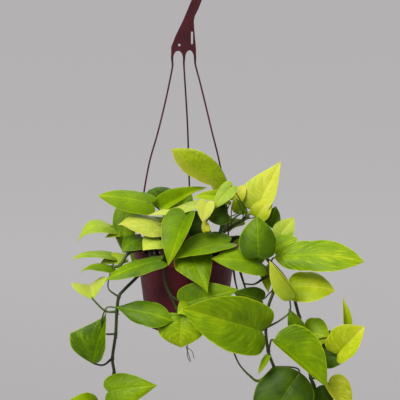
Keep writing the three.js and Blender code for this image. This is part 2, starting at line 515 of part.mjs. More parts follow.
// A leaf blade: a thin sheet with the same triangles on both faces.
function blade(leaf) {
  const { rows, half } = leaf.width < LARGE_LEAF ? GRID.small : GRID.large;
  const across = 2 * half + 1;
  const inner = Array.from({ length: rows - 1 }, (_, i) => i + 1);
  const sheet = [bladePoint(leaf, 0, 0)];
  for (const row of inner)
    for (let column = 0; column < across; column++)
      sheet.push(bladePoint(leaf, row / rows, column / half - 1));
  sheet.push(bladePoint(leaf, 1, 0));
  const tip = sheet.length - 1;
  const at = (row, column) => Math.min(tip, Math.max(0, 1 + (row - 1) * across + (row % rows ? column : 0)));
  const faces = [];
  for (let row = 0; row < rows; row++)
    for (let column = 0; column + 1 < across; column++) {
      const [a, b] = [at(row, column), at(row + 1, column)];
      const [c, d] = [at(row + 1, column + 1), at(row, column + 1)];
      if (row < rows - 1) faces.push([a, b, c]);
      if (row > 0) faces.push([a, c, d]);
    }
  const geometry = new THREE.BufferGeometry().setFromPoints(sheet);
  geometry.setIndex(faces.flat());
  geometry.computeVertexNormals();
  const normals = geometry.attributes.normal;
  const faced = (share) => sheet.map((point, i) =>
    point.clone().addScaledVector(new THREE.Vector3().fromBufferAttribute(normals, i), share * BLADE));
  const rim = [
    0,
    ...inner.map((row) => at(row, 0)),
    tip,
    ...inner.toReversed().map((row) => at(row, across - 1)),
  ];
  const under = (i) => i + sheet.length;
  const all = [
    ...faces,
    ...faces.map(([a, b, c]) => [under(a), under(c), under(b)]),
    ...rim.flatMap((a, i) => {
      const b = rim[(i + 1) % rim.length];
      return [[a, under(a), b], [b, under(a), under(b)]];
    }),
  ];
  const closed = new THREE.BufferGeometry().setFromPoints([...faced(0.5), ...faced(-0.5)]);
  closed.setIndex(all.flat());
  return solid(closed);
}

// A leaf stalk: from its joint, through its bends, to the notch and a little way along under the rib.
function stalk(leaf, from) {
  const { base, length, forward, up, bends } = leaf;
  const far = from.distanceTo(base);
  const rise = new THREE.Vector3(0, 0, 0.12 * far);
  const first = from.clone().lerp(base, 0.35).add(rise);
  const second = base.clone().addScaledVector(forward, -0.2 * far).addScaledVector(up, -0.22 * far);
  const free = new THREE.CubicBezierCurve3(from, first, second, base);
  const middle = bends.length ? bends.map(place) : [free.getPoint(1 / 3), free.getPoint(2 / 3)];
  const end = bladePoint(leaf, STALK_END.along, 0).addScaledVector(up, -STALK_END.under);
  const steps = bends.length ? STALK.bent_steps : STALK.steps;
  return bar([from, ...middle, end], STALK.radius, STALK.sides, steps);
}

// One leafy stem, with its roots, stalks and blades fused in one.
function vine({ stem, roots, leaves }) {
  const joints = stem.map(place);
  const steps = Math.round(STEM.steps_a_span * (joints.length - 1));
  const parts = [bar(joints, STEM.radius, STEM.sides, steps)];
  for (const root of roots) parts.push(bar(root.map(place), ROOT_RADIUS, STALK.sides, STALK.bent_steps));
  for (const leaf of leaves.map(leafOf)) {
    parts.push(stalk(leaf, joints[leaf.joint]));
    parts.push(blade(leaf));
  }
  return fused(parts);
}

// The whole hangs below the hook's inner crown.
const plant = new THREE.Group();
plant.position.z = -HOOK_SEAT;
plant.add(piece("pot", pot, { color: 0x5b2730, roughness: 0.55, metalness: 0 }));
plant.add(piece("potting_mix", mix, { color: 0x2d2119, roughness: 0.95, metalness: 0 }));
plant.add(piece("hanger", hanger, { color: 0x5a2028, roughness: 0.45, metalness: 0 }));
for (const [name, parts] of Object.entries(VINES)) {
  const yellow = parts.leaves.reduce((sum, row) => sum + row[11], 0) / parts.leaves.length;
  const color = new THREE.Color(0x4c7a06).lerp(new THREE.Color(0xc4d244), yellow);
  plant.add(piece(name, vine(parts), { color, roughness: 0.4, metalness: 0 }));
}

export default plant;
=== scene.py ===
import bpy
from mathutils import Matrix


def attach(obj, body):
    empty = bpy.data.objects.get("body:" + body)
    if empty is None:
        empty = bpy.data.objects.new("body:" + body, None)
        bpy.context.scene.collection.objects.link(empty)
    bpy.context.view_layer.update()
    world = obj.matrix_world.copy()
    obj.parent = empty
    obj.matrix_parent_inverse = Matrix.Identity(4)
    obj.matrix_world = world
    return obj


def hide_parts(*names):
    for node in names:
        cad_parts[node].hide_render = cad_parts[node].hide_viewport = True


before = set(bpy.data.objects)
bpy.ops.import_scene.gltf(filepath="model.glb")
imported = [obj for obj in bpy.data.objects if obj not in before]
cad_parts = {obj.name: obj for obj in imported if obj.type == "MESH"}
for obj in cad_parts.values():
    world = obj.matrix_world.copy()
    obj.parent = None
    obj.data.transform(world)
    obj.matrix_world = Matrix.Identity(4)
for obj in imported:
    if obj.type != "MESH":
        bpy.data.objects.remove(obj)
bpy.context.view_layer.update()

import math

import bpy
import numpy as np
from mathutils import Vector

# Camera and studio
# A plain pale studio: one floor that runs out of sight below the hanging pot, a sky of the same pale grey,
# and soft light from large panels above and in front. The camera looks down by 13 degrees, as the photo does.
CAMERA_PLACE = (0.0202, -2.2262, 0.205)
CAMERA_DIP = 13  # degrees below level
FOCAL_PIXELS = 1595  # for a frame 400 pixels wide
FRAME_PIXELS = 400
SENSOR = 36
FLOOR_DEPTH = -1.15
FLOOR_REACH = 30
FLOOR_SHADE_REACH = (1.3, 3.6)  # metres from the plant over which the floor's painted shade gives way to its full pale grey
AIM = (0.02, -0.02, -0.38)
PANELS = [
    # place, side length, watts, colour
    ((-1.1, -1.3, 1.0), 0.9, 14, "#fffaf2"),
    ((0.3, -0.1, 1.5), 1.2, 14, "#ffffff"),
    ((0.4, 1.9, 0.7), 1.2, 6, "#ffffff"),
]
KEY_FROM = (-0.55, -0.75, 1.0)
KEY_STRENGTH = 2.3
KEY_SOFTNESS = 35  # degrees across
SKY_STRENGTH = 0.5
scene = bpy.context.scene


def linear(code, alpha=1.0):
    """An sRGB hex colour as the linear colour that the shaders take."""
    parts = [int(code[i:i + 2], 16) / 255 for i in (1, 3, 5)]
    return (*(c / 12.92 if c <= 0.04045 else ((c + 0.055) / 1.055) ** 2.4 for c in parts), alpha)


def fed(tree, node, inputs):
    """The node with its inputs set. An input's value is a number or colour, or another node or socket."""
    for key, value in inputs.items():
        if isinstance(value, bpy.types.Node):
            value = value.outputs[0]
        if isinstance(value, bpy.types.NodeSocket):
            tree.links.new(value, node.inputs[key])
        else:
            node.inputs[key].default_value = value
    return node


def add(tree, kind, inputs=None, **settings):
    """Adds a node with its settings and its inputs."""
    made = tree.nodes.new(kind)
    for key, value in settings.items():
        setattr(made, key, value)
    return fed(tree, made, inputs or {})


def maths(tree, operation, *values):
    """A Math node on its values."""
    return add(tree, "ShaderNodeMath", dict(enumerate(values)), operation=operation)


def times(tree, value, share):
    """A value times a share."""
    return maths(tree, "MULTIPLY", value, share)


def swung(tree, value, reach):
    """A value that lies about a half made to lie about nought, and stretched to this reach."""
    return times(tree, maths(tree, "SUBTRACT", value, 0.5), reach)


def between(tree, value, low, high, to_low=0.0, to_high=1.0):
    """A value's range turned smoothly to another range, and held at its ends."""
    inputs = {"Value": value, "From Min": low, "From Max": high, "To Min": to_low, "To Max": to_high}
    return add(tree, "ShaderNodeMapRange", inputs, interpolation_type="SMOOTHSTEP")


def mixed(tree, factor, first, second):
    """Two colours mixed. The node's sockets for colours come after those for numbers and vectors."""
    return add(tree, "ShaderNodeMix", {0: factor, 6: first, 7: second}, data_type="RGBA").outputs[2]


def ramp(tree, factor, stops):
    """A colour ramp on a factor, its stops given as place and hex colour."""
    made = add(tree, "ShaderNodeValToRGB", {"Fac": factor})
    elements = made.color_ramp.elements
    while len(elements) < len(stops):
        elements.new(0.5)
    for element, (place, code) in zip(elements, stops):
        element.position = place
        element.color = linear(code)
    return made


def noise(tree, where, size, detail=2.0, roughness=0.5):
    """Noise whose lumps are about this many millimetres across."""
    inputs = {"Vector": where, "Scale": 1000 / size, "Detail": detail, "Roughness": roughness}
    return add(tree, "ShaderNodeTexNoise", inputs)


def material(name):
    """A new material and its node tree, its Principled shader and its object coordinates."""
    made = bpy.data.materials.new(name)
    made.use_nodes = True
    tree = made.node_tree
    where = add(tree, "ShaderNodeTexCoord").outputs["Object"]
    return made, tree, tree.nodes["Principled BSDF"], where


def bump(tree, height, depth):
    """A bump of this depth in millimetres."""
    return add(tree, "ShaderNodeBump", {"Height": height, "Distance": depth / 1000, "Strength": 1.0})


camera = bpy.data.objects.new("camera", bpy.data.cameras.new("camera"))
camera.location = CAMERA_PLACE
camera.rotation_euler = (math.radians(90 - CAMERA_DIP), 0, 0)
camera.data.sensor_width = SENSOR
camera.data.lens = FOCAL_PIXELS / FRAME_PIXELS * SENSOR
camera.data.clip_end = 2 * FLOOR_REACH
scene.collection.objects.link(camera)
scene.camera = camera

scene.view_settings.view_transform = "Standard"


def hung(name, lamp, place):
    """A lamp at a place, turned to the plant."""
    made = bpy.data.objects.new(name, lamp)
    made.location = place
    made.rotation_euler = (Vector(place) - Vector(AIM)).to_track_quat("Z", "Y").to_euler()
    scene.collection.objects.link(made)


for number, (place, side, watts, tint) in enumerate(PANELS):
    lamp = bpy.data.lights.new(f"panel_{number}", "AREA")
    lamp.size = side
    lamp.energy = watts
    lamp.color = linear(tint)[:3]
    hung(f"panel_{number}", lamp, place)
key = bpy.data.lights.new("key", "SUN")
key.energy = KEY_STRENGTH
key.angle = math.radians(KEY_SOFTNESS)
hung("key", key, Vector(AIM) + Vector(KEY_FROM))

sky = bpy.data.worlds.new("studio")
sky.use_nodes = True
backdrop = sky.node_tree.nodes["Background"]
backdrop.inputs["Color"].default_value = linear("#c3c1c2")
backdrop.inputs["Strength"].default_value = SKY_STRENGTH
scene.world = sky

# Floor paint: smooth pale grey and faintly uneven, with painted shade that makes it darker near the plant.
floor_paint, tree, shader, where = material("floor_paint")
away = add(tree, "ShaderNodeVectorMath", {0: where}, operation="LENGTH").outputs["Value"]
# Painted shade: the floor is darker near the plant and brightens with distance.
floor_light = maths(tree, "ADD", between(tree, away, *FLOOR_SHADE_REACH), times(tree, noise(tree, where, 900), 0.1))
shade = ramp(tree, floor_light, [(0.0, "#a6a4a5"), (1.0, "#c5c3c4")])
fed(tree, shader, {"Base Color": shade, "Roughness": 0.9})
corners = [(x * FLOOR_REACH, y * FLOOR_REACH, FLOOR_DEPTH) for x, y in ((-1, -1), (1, -1), (1, 1), (-1, 1))]
sheet = bpy.data.meshes.new("floor")
sheet.from_pydata(corners, [], [(0, 1, 2, 3)])
sheet.materials.append(floor_paint)
floor = bpy.data.objects.new("floor", sheet)
scene.collection.objects.link(floor)

# Pot
# One injection-moulded basket of burgundy plastic: a tapering wall, a flat base with six drain holes, and a
# flanged rim whose skirt turns down. Three notches in the flange take the hanger's barbs.
MM = 0.001
HOOK_SEAT = 377  # from the rim up to the hook's inner crown, which is the row's origin
POT_HEIGHT = 115
POT_SEGMENTS = 144
WALL_TOP_RADIUS = 71.2
WALL_BASE_RADIUS = 58
WALL = 1.6
BASE_THICKNESS = 2
FOOT_RING = 46  # inside radius of the ring that the pot stands on
RECESS = 0.8  # of the base inside that ring
RIM_RADIUS = 75.5
RIM_DROP = 13
RIM_SKIRT = 1
RIM_FLANGE = 2
DRAIN = {"count": 6, "cutter": [(0, -5), (3.5, -5), (3.5, 5), (0, 5)], "from_centre": 38}
STRAND_TURNS = (206, 326, 86)
STRAND_CIRCLE = 72.9
NOTCH = (3, 3.2, 6)
CRISP = 35  # degrees, from which an edge stays sharp
POT_PROFILE = [
    # radius, height, rounding of the corner
    (0, RECESS - POT_HEIGHT, 0), (FOOT_RING - 2, RECESS - POT_HEIGHT, 1),
    (FOOT_RING, -POT_HEIGHT, 1), (WALL_BASE_RADIUS, -POT_HEIGHT, 2.2),
    (WALL_TOP_RADIUS, -RIM_FLANGE, 0.5), (RIM_RADIUS - RIM_SKIRT, -RIM_FLANGE, 0.4),
    (RIM_RADIUS - RIM_SKIRT, -RIM_DROP, 0.4), (RIM_RADIUS, -RIM_DROP, 0.4),
    (RIM_RADIUS, 0, 1.3), (WALL_TOP_RADIUS - WALL, 0, 1.1),
    (WALL_BASE_RADIUS - WALL, BASE_THICKNESS - POT_HEIGHT, 1.6), (0, BASE_THICKNESS - POT_HEIGHT, 0),
]


def placed(points):
    """Millimetres from the rim's centre as metres in the row's frame."""
    return (np.asarray(points, float) - (0, 0, HOOK_SEAT)) * MM


def meshed(name, points, faces, *materials):
    """A mesh of points and faces, with its materials and smooth shading."""
    mesh = bpy.data.meshes.new(name)
    mesh.from_pydata(np.asarray(points).tolist(), [], faces)
    for one in materials:
        mesh.materials.append(one)
    smoothed(mesh)
    return mesh


def smoothed(mesh):
    """Smooth shading, with the sharper edges kept crisp."""
    mesh.shade_smooth()
    mesh.set_sharp_from_angle(angle=math.radians(CRISP))


def shown(name, mesh):
    """An object of a mesh, in the scene."""
    made = bpy.data.objects.new(name, mesh)
    scene.collection.objects.link(made)
    return made


def stands_for(piece, node):
    """The piece rides on the part's one body in the place of a CAD node, whose own mesh is hidden."""
    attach(piece, "root")
    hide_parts(node)


def filleted(corners, steps=5):
    """A profile whose corners are rounded, each by its own length."""
    out = []
    for i, (x, y, length) in enumerate(corners):
        here = np.array((x, y), float)
        if length == 0 or i in (0, len(corners) - 1):
            out.append(here)
            continue
        ends = []
        for other in (corners[i - 1], corners[i + 1]):
            way = np.array(other[:2], float) - here
            ends.append(here + way * min(0.45, length / np.linalg.norm(way)))
        for t in np.linspace(0, 1, steps):
            out.append((1 - t) ** 2 * ends[0] + 2 * t * (1 - t) * here + t * t * ends[1])
    return np.array(out)


def turned(profile, segments):
    """A profile of radius and height turned round the pot's axis: points and outward faces."""
    angles = np.arange(segments) / segments * 2 * math.pi
    points, rings, faces = [], [], []
    for radius, height in profile:
        if radius < 1e-6:
            rings.append([len(points)] * segments)
            points.append((0, 0, height))
        else:
            rings.append(list(range(len(points), len(points) + segments)))
            points.extend(zip(radius * np.cos(angles), radius * np.sin(angles), [height] * segments))
    for low, high in zip(rings, rings[1:]):
        for i in range(segments):
            j = (i + 1) % segments
            face = [low[i], low[j], high[j], high[i]]
            faces.append(tuple(dict.fromkeys(face)))
    return np.array(points), faces


def spun(points, turn):
    """Points turned about the pot's axis by degrees."""
    c, s = math.cos(math.radians(turn)), math.sin(math.radians(turn))
    return np.asarray(points, float) @ np.array([[c, s, 0], [-s, c, 0], [0, 0, 1]])


def boxed(size, centre, turn):
    """A plain block for cutting, turned about the pot's axis."""
    corners = np.array([(x, y, z) for x in (-0.5, 0.5) for y in (-0.5, 0.5) for z in (-0.5, 0.5)])
    faces = [(0, 1, 3, 2), (4, 6, 7, 5), (0, 4, 5, 1), (2, 3, 7, 6), (0, 2, 6, 4), (1, 5, 7, 3)]
    return spun(corners * size + centre, turn), faces


def evaluated(piece):
    """The mesh that an object comes to with its modifiers."""
    depsgraph = bpy.context.evaluated_depsgraph_get()
    return bpy.data.meshes.new_from_object(piece.evaluated_get(depsgraph), depsgraph=depsgraph)


def cut(mesh, cutters):
    """The mesh with each cutter's solid taken away."""
    body = shown("cut", mesh)
    tools = [shown("tool", meshed("tool", placed(points), faces)) for points, faces in cutters]
    for tool in tools:
        modifier = body.modifiers.new("hole", "BOOLEAN")
        modifier.object = tool
        modifier.solver = "EXACT"
    made = evaluated(body)
    for one in (body, *tools):
        bpy.data.objects.remove(one)
    smoothed(made)
    return made


# Pot plastic: satin burgundy polypropylene. The mould left a fine grain, the sheen is uneven from handling,
# and a thin bloom of dried water dulls it here and there.
pot_plastic, tree, shader, where = material("burgundy_polypropylene")
clouded = ramp(tree, noise(tree, where, 46, 3), [(0.25, "#4b1a22"), (0.5, "#591e28"), (0.8, "#6a2531")])
bloom = times(tree, between(tree, noise(tree, where, 14, 5, 0.65), 0.56, 0.78), 0.12)
fed(tree, shader, {
    "Base Color": mixed(tree, bloom, clouded, linear("#865c5f")),
    "Roughness": between(tree, noise(tree, where, 9, 4), 0.3, 0.7, 0.42, 0.56),
    "Specular IOR Level": 0.14,
    "Normal": bump(tree, noise(tree, where, 1.1, 2), 0.05),
})

points, faces = turned(filleted(POT_PROFILE), POT_SEGMENTS)
shell = meshed("pot_shell", placed(points), [face[::-1] for face in faces], pot_plastic)
holes = []
for number in range(DRAIN["count"]):
    points, faces = turned([(r, -POT_HEIGHT + z) for r, z in DRAIN["cutter"]], 32)
    holes.append((points + spun((DRAIN["from_centre"], 0, 0), 360 * number / DRAIN["count"]), faces))
holes += [boxed(NOTCH, (STRAND_CIRCLE, 0, 0), turn) for turn in STRAND_TURNS]
pot = shown("pot_shell", cut(shell, holes))
stands_for(pot, "pot")

# Potting mix
# Damp peat with composted bark and a little perlite. The peat is the fill that sits inside the pot, its top
# lumpy. The chips and grains are strewn on that top.
MIX_TOP = -16
MIX_RADIUS = 67.2
MIX_BASE_RADIUS = 55.8
MIX_BASE = -112.6
MIX_RINGS = 64
MIX_SEGMENTS = 160
STREWN = [
    # what, seed, pieces a square metre, size in metres, thickness as a share of the size
    ("bark", 3, 26000, 0.0046, 0.4),
    ("perlite", 8, 9000, 0.0019, 0.85),
]
STREWN_SIZES = (0.5, 1.35)  # least and most, as shares
STREWN_WIDTH = 0.72  # as a share of the size
STREWN_CRUMPLE = {"Scale": 420.0, "Detail": 3.0}
CRUMPLE_REACH = 0.7  # as a share of the size
STREWN_TILT = 0.5  # radians either way
STREWN_EDGE = 4  # bare width along the wall
MIX_LUMP = 1.2
MIX_CRUMB = 0.45
LEVEL_EDGE = 6  # width along the wall over which the lumps die out


def interface(name, sockets):
    """An empty node tree with its named inputs, its group input and its group output."""
    tree = bpy.data.node_groups.new(name, "GeometryNodeTree")
    tree.interface.new_socket("Geometry", in_out="INPUT", socket_type="NodeSocketGeometry")
    tree.interface.new_socket("Geometry", in_out="OUTPUT", socket_type="NodeSocketGeometry")
    for label, kind in sockets.items():
        tree.interface.new_socket(label, in_out="INPUT", socket_type="NodeSocket" + kind)
    return tree, tree.nodes.new("NodeGroupInput").outputs, tree.nodes.new("NodeGroupOutput").inputs


def ended(tree, geometry, given, result):
    """A node tree led to its end: smooth shading, instances made real, and the material."""
    smooth = add(tree, "GeometryNodeSetShadeSmooth", {"Geometry": geometry})
    real = add(tree, "GeometryNodeRealizeInstances", {"Geometry": smooth})
    finished = add(tree, "GeometryNodeSetMaterial", {"Geometry": real, "Material": given["Material"]})
    tree.links.new(finished.outputs[0], result["Geometry"])
    return tree


def grown(base, tree, **values):
    """The mesh that a node tree makes from a base mesh, with its named inputs set."""
    carrier = shown("carrier", base)
    modifier = carrier.modifiers.new("grown", "NODES")
    modifier.node_group = tree
    for item in tree.interface.items_tree:
        if item.in_out == "INPUT" and item.name in values:
            modifier[item.identifier] = values[item.name]
    mesh = evaluated(carrier)
    carrier.modifiers.remove(modifier)
    bpy.data.objects.remove(carrier)
    return mesh


def strewing():
    """Grains strewn on a surface, each turned and sized at random, flattened and crumpled by noise."""
    sockets = dict.fromkeys(("Density", "Size", "Flatness"), "Float")
    tree, given, result = interface("strewn_grains", {"Seed": "Int", **sockets, "Material": "Material"})
    spread = {"Mesh": given["Geometry"], "Density": given["Density"], "Seed": given["Seed"]}
    spots = add(tree, "GeometryNodeDistributePointsOnFaces", spread)
    grain = add(tree, "GeometryNodeMeshIcoSphere", {"Radius": 0.5, "Subdivisions": 3})
    flat = add(tree, "ShaderNodeCombineXYZ", {"X": 1.0, "Y": STREWN_WIDTH, "Z": given["Flatness"]})
    shaped = add(tree, "GeometryNodeTransform", {"Geometry": grain.outputs["Mesh"], "Scale": flat})
    angles = {0: (-STREWN_TILT, -STREWN_TILT, 0), 1: (STREWN_TILT, STREWN_TILT, 6.28), "Seed": given["Seed"]}
    tilt = add(tree, "FunctionNodeRandomValue", angles, data_type="FLOAT_VECTOR")
    shares = {2: STREWN_SIZES[0], 3: STREWN_SIZES[1], "Seed": given["Seed"]}
    sizes = add(tree, "FunctionNodeRandomValue", shares, data_type="FLOAT")
    size = times(tree, sizes.outputs[1], given["Size"])
    laid = {"Points": spots.outputs["Points"], "Instance": shaped, "Rotation": tilt.outputs[0], "Scale": size}
    grains = add(tree, "GeometryNodeInstanceOnPoints", laid)
    real = add(tree, "GeometryNodeRealizeInstances", {"Geometry": grains})
    where = add(tree, "GeometryNodeInputPosition")
    lumps = add(tree, "ShaderNodeTexNoise", {"Vector": where, **STREWN_CRUMPLE})
    centred = add(tree, "ShaderNodeVectorMath", {0: lumps.outputs["Color"], 1: (0.5, 0.5, 0.5)},
                  operation="SUBTRACT")
    reach = times(tree, given["Size"], CRUMPLE_REACH)
    push = add(tree, "ShaderNodeVectorMath", {0: centred, "Scale": reach}, operation="SCALE")
    crumpled = add(tree, "GeometryNodeSetPosition", {"Geometry": real, "Offset": push})
    return ended(tree, crumpled, given, result)


def ground(x, y):
    """The height of the mix's top: the low lumps of the fill and the crumb of the peat."""
    lump = np.sin(0.21 * x + 1) * np.cos(0.17 * y) + np.sin(0.099 * x + 0.23 * y)
    crumb = np.sin(0.83 * x + 1.7 * np.sin(0.41 * y)) * np.cos(0.77 * y + 1.3 * np.sin(0.52 * x))
    edge = np.clip((MIX_RADIUS - np.hypot(x, y)) / LEVEL_EDGE, 0, 1)
    return MIX_TOP + (MIX_LUMP * lump + MIX_CRUMB * crumb) * edge


# Peat: nearly black brown when damp, crumbly, with lighter fibres.
peat, tree, shader, where = material("damp_peat")
crumbs = noise(tree, where, 3, 6, 0.7)
fibres = add(tree, "ShaderNodeTexWave", {"Vector": where, "Scale": 260.0, "Distortion": 30.0, "Detail": 4.0})
brown = ramp(tree, crumbs, [(0.3, "#1a120c"), (0.55, "#2d2017"), (0.75, "#4a3626")])
thin = times(tree, between(tree, fibres.outputs["Fac"], 0.93, 1.0), 0.5)
skin = mixed(tree, thin, brown, linear("#7a5c3c"))
fed(tree, shader, {"Base Color": skin, "Roughness": 0.92, "Normal": bump(tree, crumbs, 1.2)})

# Bark: composted chips, grey brown outside, redder where they broke.
bark, tree, shader, where = material("composted_bark")
grain = noise(tree, where, 2.2, 5, 0.6)
tone = ramp(tree, grain, [(0.28, "#2a1b11"), (0.5, "#4b3221"), (0.72, "#7b5a3d")])
fed(tree, shader, {"Base Color": tone, "Roughness": 0.85, "Normal": bump(tree, grain, 0.5)})

# Perlite: popped white volcanic glass, pitted and stained by the peat.
perlite, tree, shader, where = material("perlite")
pits = noise(tree, where, 0.8, 3)
tone = ramp(tree, pits, [(0.35, "#b9ae9c"), (0.6, "#e9e5dc")])
fed(tree, shader, {"Base Color": tone, "Roughness": 0.8, "Normal": bump(tree, pits, 0.3)})

profile = [(0, MIX_BASE), (MIX_BASE_RADIUS, MIX_BASE)]
profile += [(MIX_RADIUS * (1 - ring / MIX_RINGS), MIX_TOP) for ring in range(MIX_RINGS + 1)]
points, faces = turned(profile, MIX_SEGMENTS)
top = points[:, 2] > MIX_TOP - 1
points[top, 2] = ground(points[top, 0], points[top, 1])
fill = shown("potting_mix_fill", meshed("potting_mix_fill", placed(points), [f[::-1] for f in faces], peat))
stands_for(fill, "potting_mix")

strewn = strewing()
within = top & (np.hypot(points[:, 0], points[:, 1]) < MIX_RADIUS - STREWN_EDGE)
bed_faces = [face for face in faces if within[list(face)].all()]
for (name, seed, density, size, flatness), skin in zip(STREWN, (bark, perlite)):
    bed = meshed("bed", placed(points), [f[::-1] for f in bed_faces])
    made = grown(bed, strewn, Seed=seed, Density=density, Size=size, Flatness=flatness, Material=skin)
    grains = shown(f"mix_{name}", made)
    stands_for(grains, "potting_mix")

# Hanger
# One injection moulding of the same burgundy: a flat scalloped head with a round eye and a slot, a leaning
# arm that bends over into the hook, and three thin strands that run down to barbs under the pot's flange.
PLATE = 5
PLATE_BEVEL = 0.7
HOOK_CENTRE = HOOK_SEAT - 13
HOOK_INSIDE = 13
HOOK_OUTSIDE = 25
HOOK_FROM = -23.4
HOOK_TO = 190
EYE = (-8.8, 291, 1.8)
SLOT = (9, 301, 2.8, 18)
STRAND_RADIUS = 1.2
STRANDS = [
    [[-18.9, 0, 276], [-18.9, 0, 269], [-18.9, -1, 258], [-28.3, -8, 213], [-39.5, -14, 168],
     [-50.5, -19, 130], [-58.3, -24, 90], [-63.6, -29, 50], [-65.5, -32, 10]],
    [[13.3, 0, 276], [13.3, 0, 270], [14, -1, 262], [20, -6, 240], [28, -12, 208], [37, -18, 171],
     [47, -25, 131], [55, -32, 88], [59.5, -38, 45], [60.4, -40.8, 10]],
    [[-2.2, 0, 276], [-2.2, 0.5, 269], [-2.2, 2, 258], [2.1, 30, 175], [4, 52, 101], [5, 65.5, 50],
     [5.1, 72.2, 15]],
]
NECK = {"from": 256, "length": 16, "swell": 0.5}  # where a strand thickens towards the head
FOOT_HEIGHTS = (4, -3.6)  # the strand's straight foot, through its notch
BARB = [(-2.7, -2.6), (-1.1, -6.6), (1.1, -6.6), (2.7, -2.6)]
BARB_DEPTH = 1.9
BARB_BEVEL = 0.25
# The head's outline from its lower left corner: the two arches between the strands, each by its start, bend,
# top, bend and end, then its right side up to the hook. Its left side runs down from the hook.
ARCHES = [
    [(-17.4, 272), (-16.4, 282.6), (-10.5, 282.8), (-4.6, 282.6), (-3.7, 272)],
    [(-0.7, 272), (0.2, 283.2), (5.6, 283.6), (11, 283.2), (11.8, 272)],
]
HEAD_RIGHT = [(14.8, 272), (14.6, 286), (13, 303.9), (11.9, 318), (11.7, 325.3), (13.1, 331.7), (18.1, 341.6)]
HEAD_LEFT = [(8.5, 353.8), (-3.3, 325.8), (-14, 303.9), (-20.2, 288.1), (-20.4, 272)]
STRAND_SWEEP = {"Sides": 14, "Step": 0.003, "Ridge": 0.00008, "Ridge size": 0.006}


def arc(centre, radius, start, end, steps=24):
    """Points round an arc, its angles in degrees."""
    angles = np.radians(np.linspace(start, end, steps))
    return np.stack([centre[0] + radius * np.cos(angles), centre[1] + radius * np.sin(angles)], 1).tolist()


def bowed(start, control, end, steps=8):
    """Points along a quadratic curve, without its first."""
    t = np.linspace(0, 1, steps + 1)[1:, None]
    a, b, c = map(np.array, (start, control, end))
    return ((1 - t) ** 2 * a + 2 * t * (1 - t) * b + t * t * c).tolist()


def plate(outlines, thickness, bevel):
    """Flat outlines in X and Z with bevelled edges, the thickness centred on Y. Inner outlines are holes."""
    curve = bpy.data.curves.new("outline", "CURVE")
    curve.dimensions = "2D"
    curve.fill_mode = "BOTH"
    curve.extrude = thickness / 2 - bevel
    curve.bevel_depth = bevel
    curve.bevel_resolution = 3
    curve.offset = -bevel
    for outline in outlines:
        spline = curve.splines.new("POLY")
        spline.points.add(len(outline) - 1)
        spline.points.foreach_set("co", [c for x, z in outline for c in (x, z, 0, 1)])
        spline.use_cyclic_u = True
    carrier = shown("outline", curve)
    points, faces = arrays_of(evaluated(carrier))
    bpy.data.objects.remove(carrier)
    return np.stack([points[:, 0], -points[:, 2], points[:, 1]], 1), faces


def arrays_of(mesh):
    """A mesh's points and faces."""
    points = np.empty(len(mesh.vertices) * 3)
    mesh.vertices.foreach_get("co", points)
    return points.reshape(-1, 3), [tuple(face.vertices) for face in mesh.polygons]


def joined(parts):
    """Several sets of points and faces as one."""
    points, faces = [], []
    for some, these in parts:
        start = sum(len(one) for one in points)
        points.append(some)
        faces.extend(tuple(i + start for i in face) for face in these)
    return np.concatenate(points), faces


def rounded(before, here, there, after, w):
    """Points at shares of the way from here to there, on a smooth line that also passes the other two."""
    leave, arrive = (there - before) / 2, (after - here) / 2
    return ((2 * here - 2 * there + leave + arrive) * w ** 3
            + (3 * there - 3 * here - 2 * leave - arrive) * w ** 2 + leave * w + here)


def through(points, per):
    """A smooth line through the points, with this many steps from each to the next."""
    points = np.asarray(points, float)
    ends = [2 * points[0] - points[1], *points, 2 * points[-1] - points[-2]]
    shares = (np.arange(per) / per)[:, None]
    out = [rounded(*four, shares) for four in zip(ends, ends[1:], ends[2:], ends[3:])]
    return np.concatenate([*out, points[-1:]])


def sweeping():
    """A round section swept along wires. Each wire's points give its radius, and noise roughens its skin."""
    sockets = dict.fromkeys(("Step", "Ridge", "Ridge size"), "Float")
    tree, given, result = interface("swept_section", {"Sides": "Int", **sockets, "Material": "Material"})
    thickness = add(tree, "GeometryNodeInputNamedAttribute", {"Name": "thickness"}, data_type="FLOAT")
    wires = add(tree, "GeometryNodeMeshToCurve", {"Mesh": given["Geometry"]})
    even = add(tree, "GeometryNodeResampleCurve", {"Curve": wires, "Length": given["Step"]}, mode="LENGTH")
    ring = add(tree, "GeometryNodeCurvePrimitiveCircle", {"Resolution": given["Sides"], "Radius": 1.0})
    tube = add(tree, "GeometryNodeCurveToMesh", {
        "Curve": even, "Profile Curve": ring.outputs["Curve"], "Fill Caps": True,
        "Scale": thickness.outputs["Attribute"]})
    where = add(tree, "GeometryNodeInputPosition")
    scale = maths(tree, "DIVIDE", 1.0, given["Ridge size"])
    lumps = add(tree, "ShaderNodeTexNoise", {"Vector": where, "Scale": scale, "Detail": 2.0})
    height = swung(tree, lumps.outputs["Fac"], given["Ridge"])
    out = add(tree, "GeometryNodeInputNormal")
    push = add(tree, "ShaderNodeVectorMath", {0: out, "Scale": height}, operation="SCALE")
    rough = add(tree, "GeometryNodeSetPosition", {"Geometry": tube, "Offset": push})
    return ended(tree, rough, given, result)


def wires(lines):
    """Lines of points in millimetres, each with its radii and ages, as a mesh of edges."""
    mesh = bpy.data.meshes.new("wires")
    edges, start = [], 0
    for line, _, _ in lines:
        edges += [(i, i + 1) for i in range(start, start + len(line) - 1)]
        start += len(line)
    mesh.from_pydata(placed(np.concatenate([line for line, _, _ in lines])).tolist(), edges, [])
    for name, column, unit in (("thickness", 1, MM), ("age", 2, 1)):
        values = [np.broadcast_to(np.asarray(line[column], float), len(line[0])) for line in lines]
        mesh.attributes.new(name, "FLOAT", "POINT").data.foreach_set("value", np.concatenate(values) * unit)
    return mesh


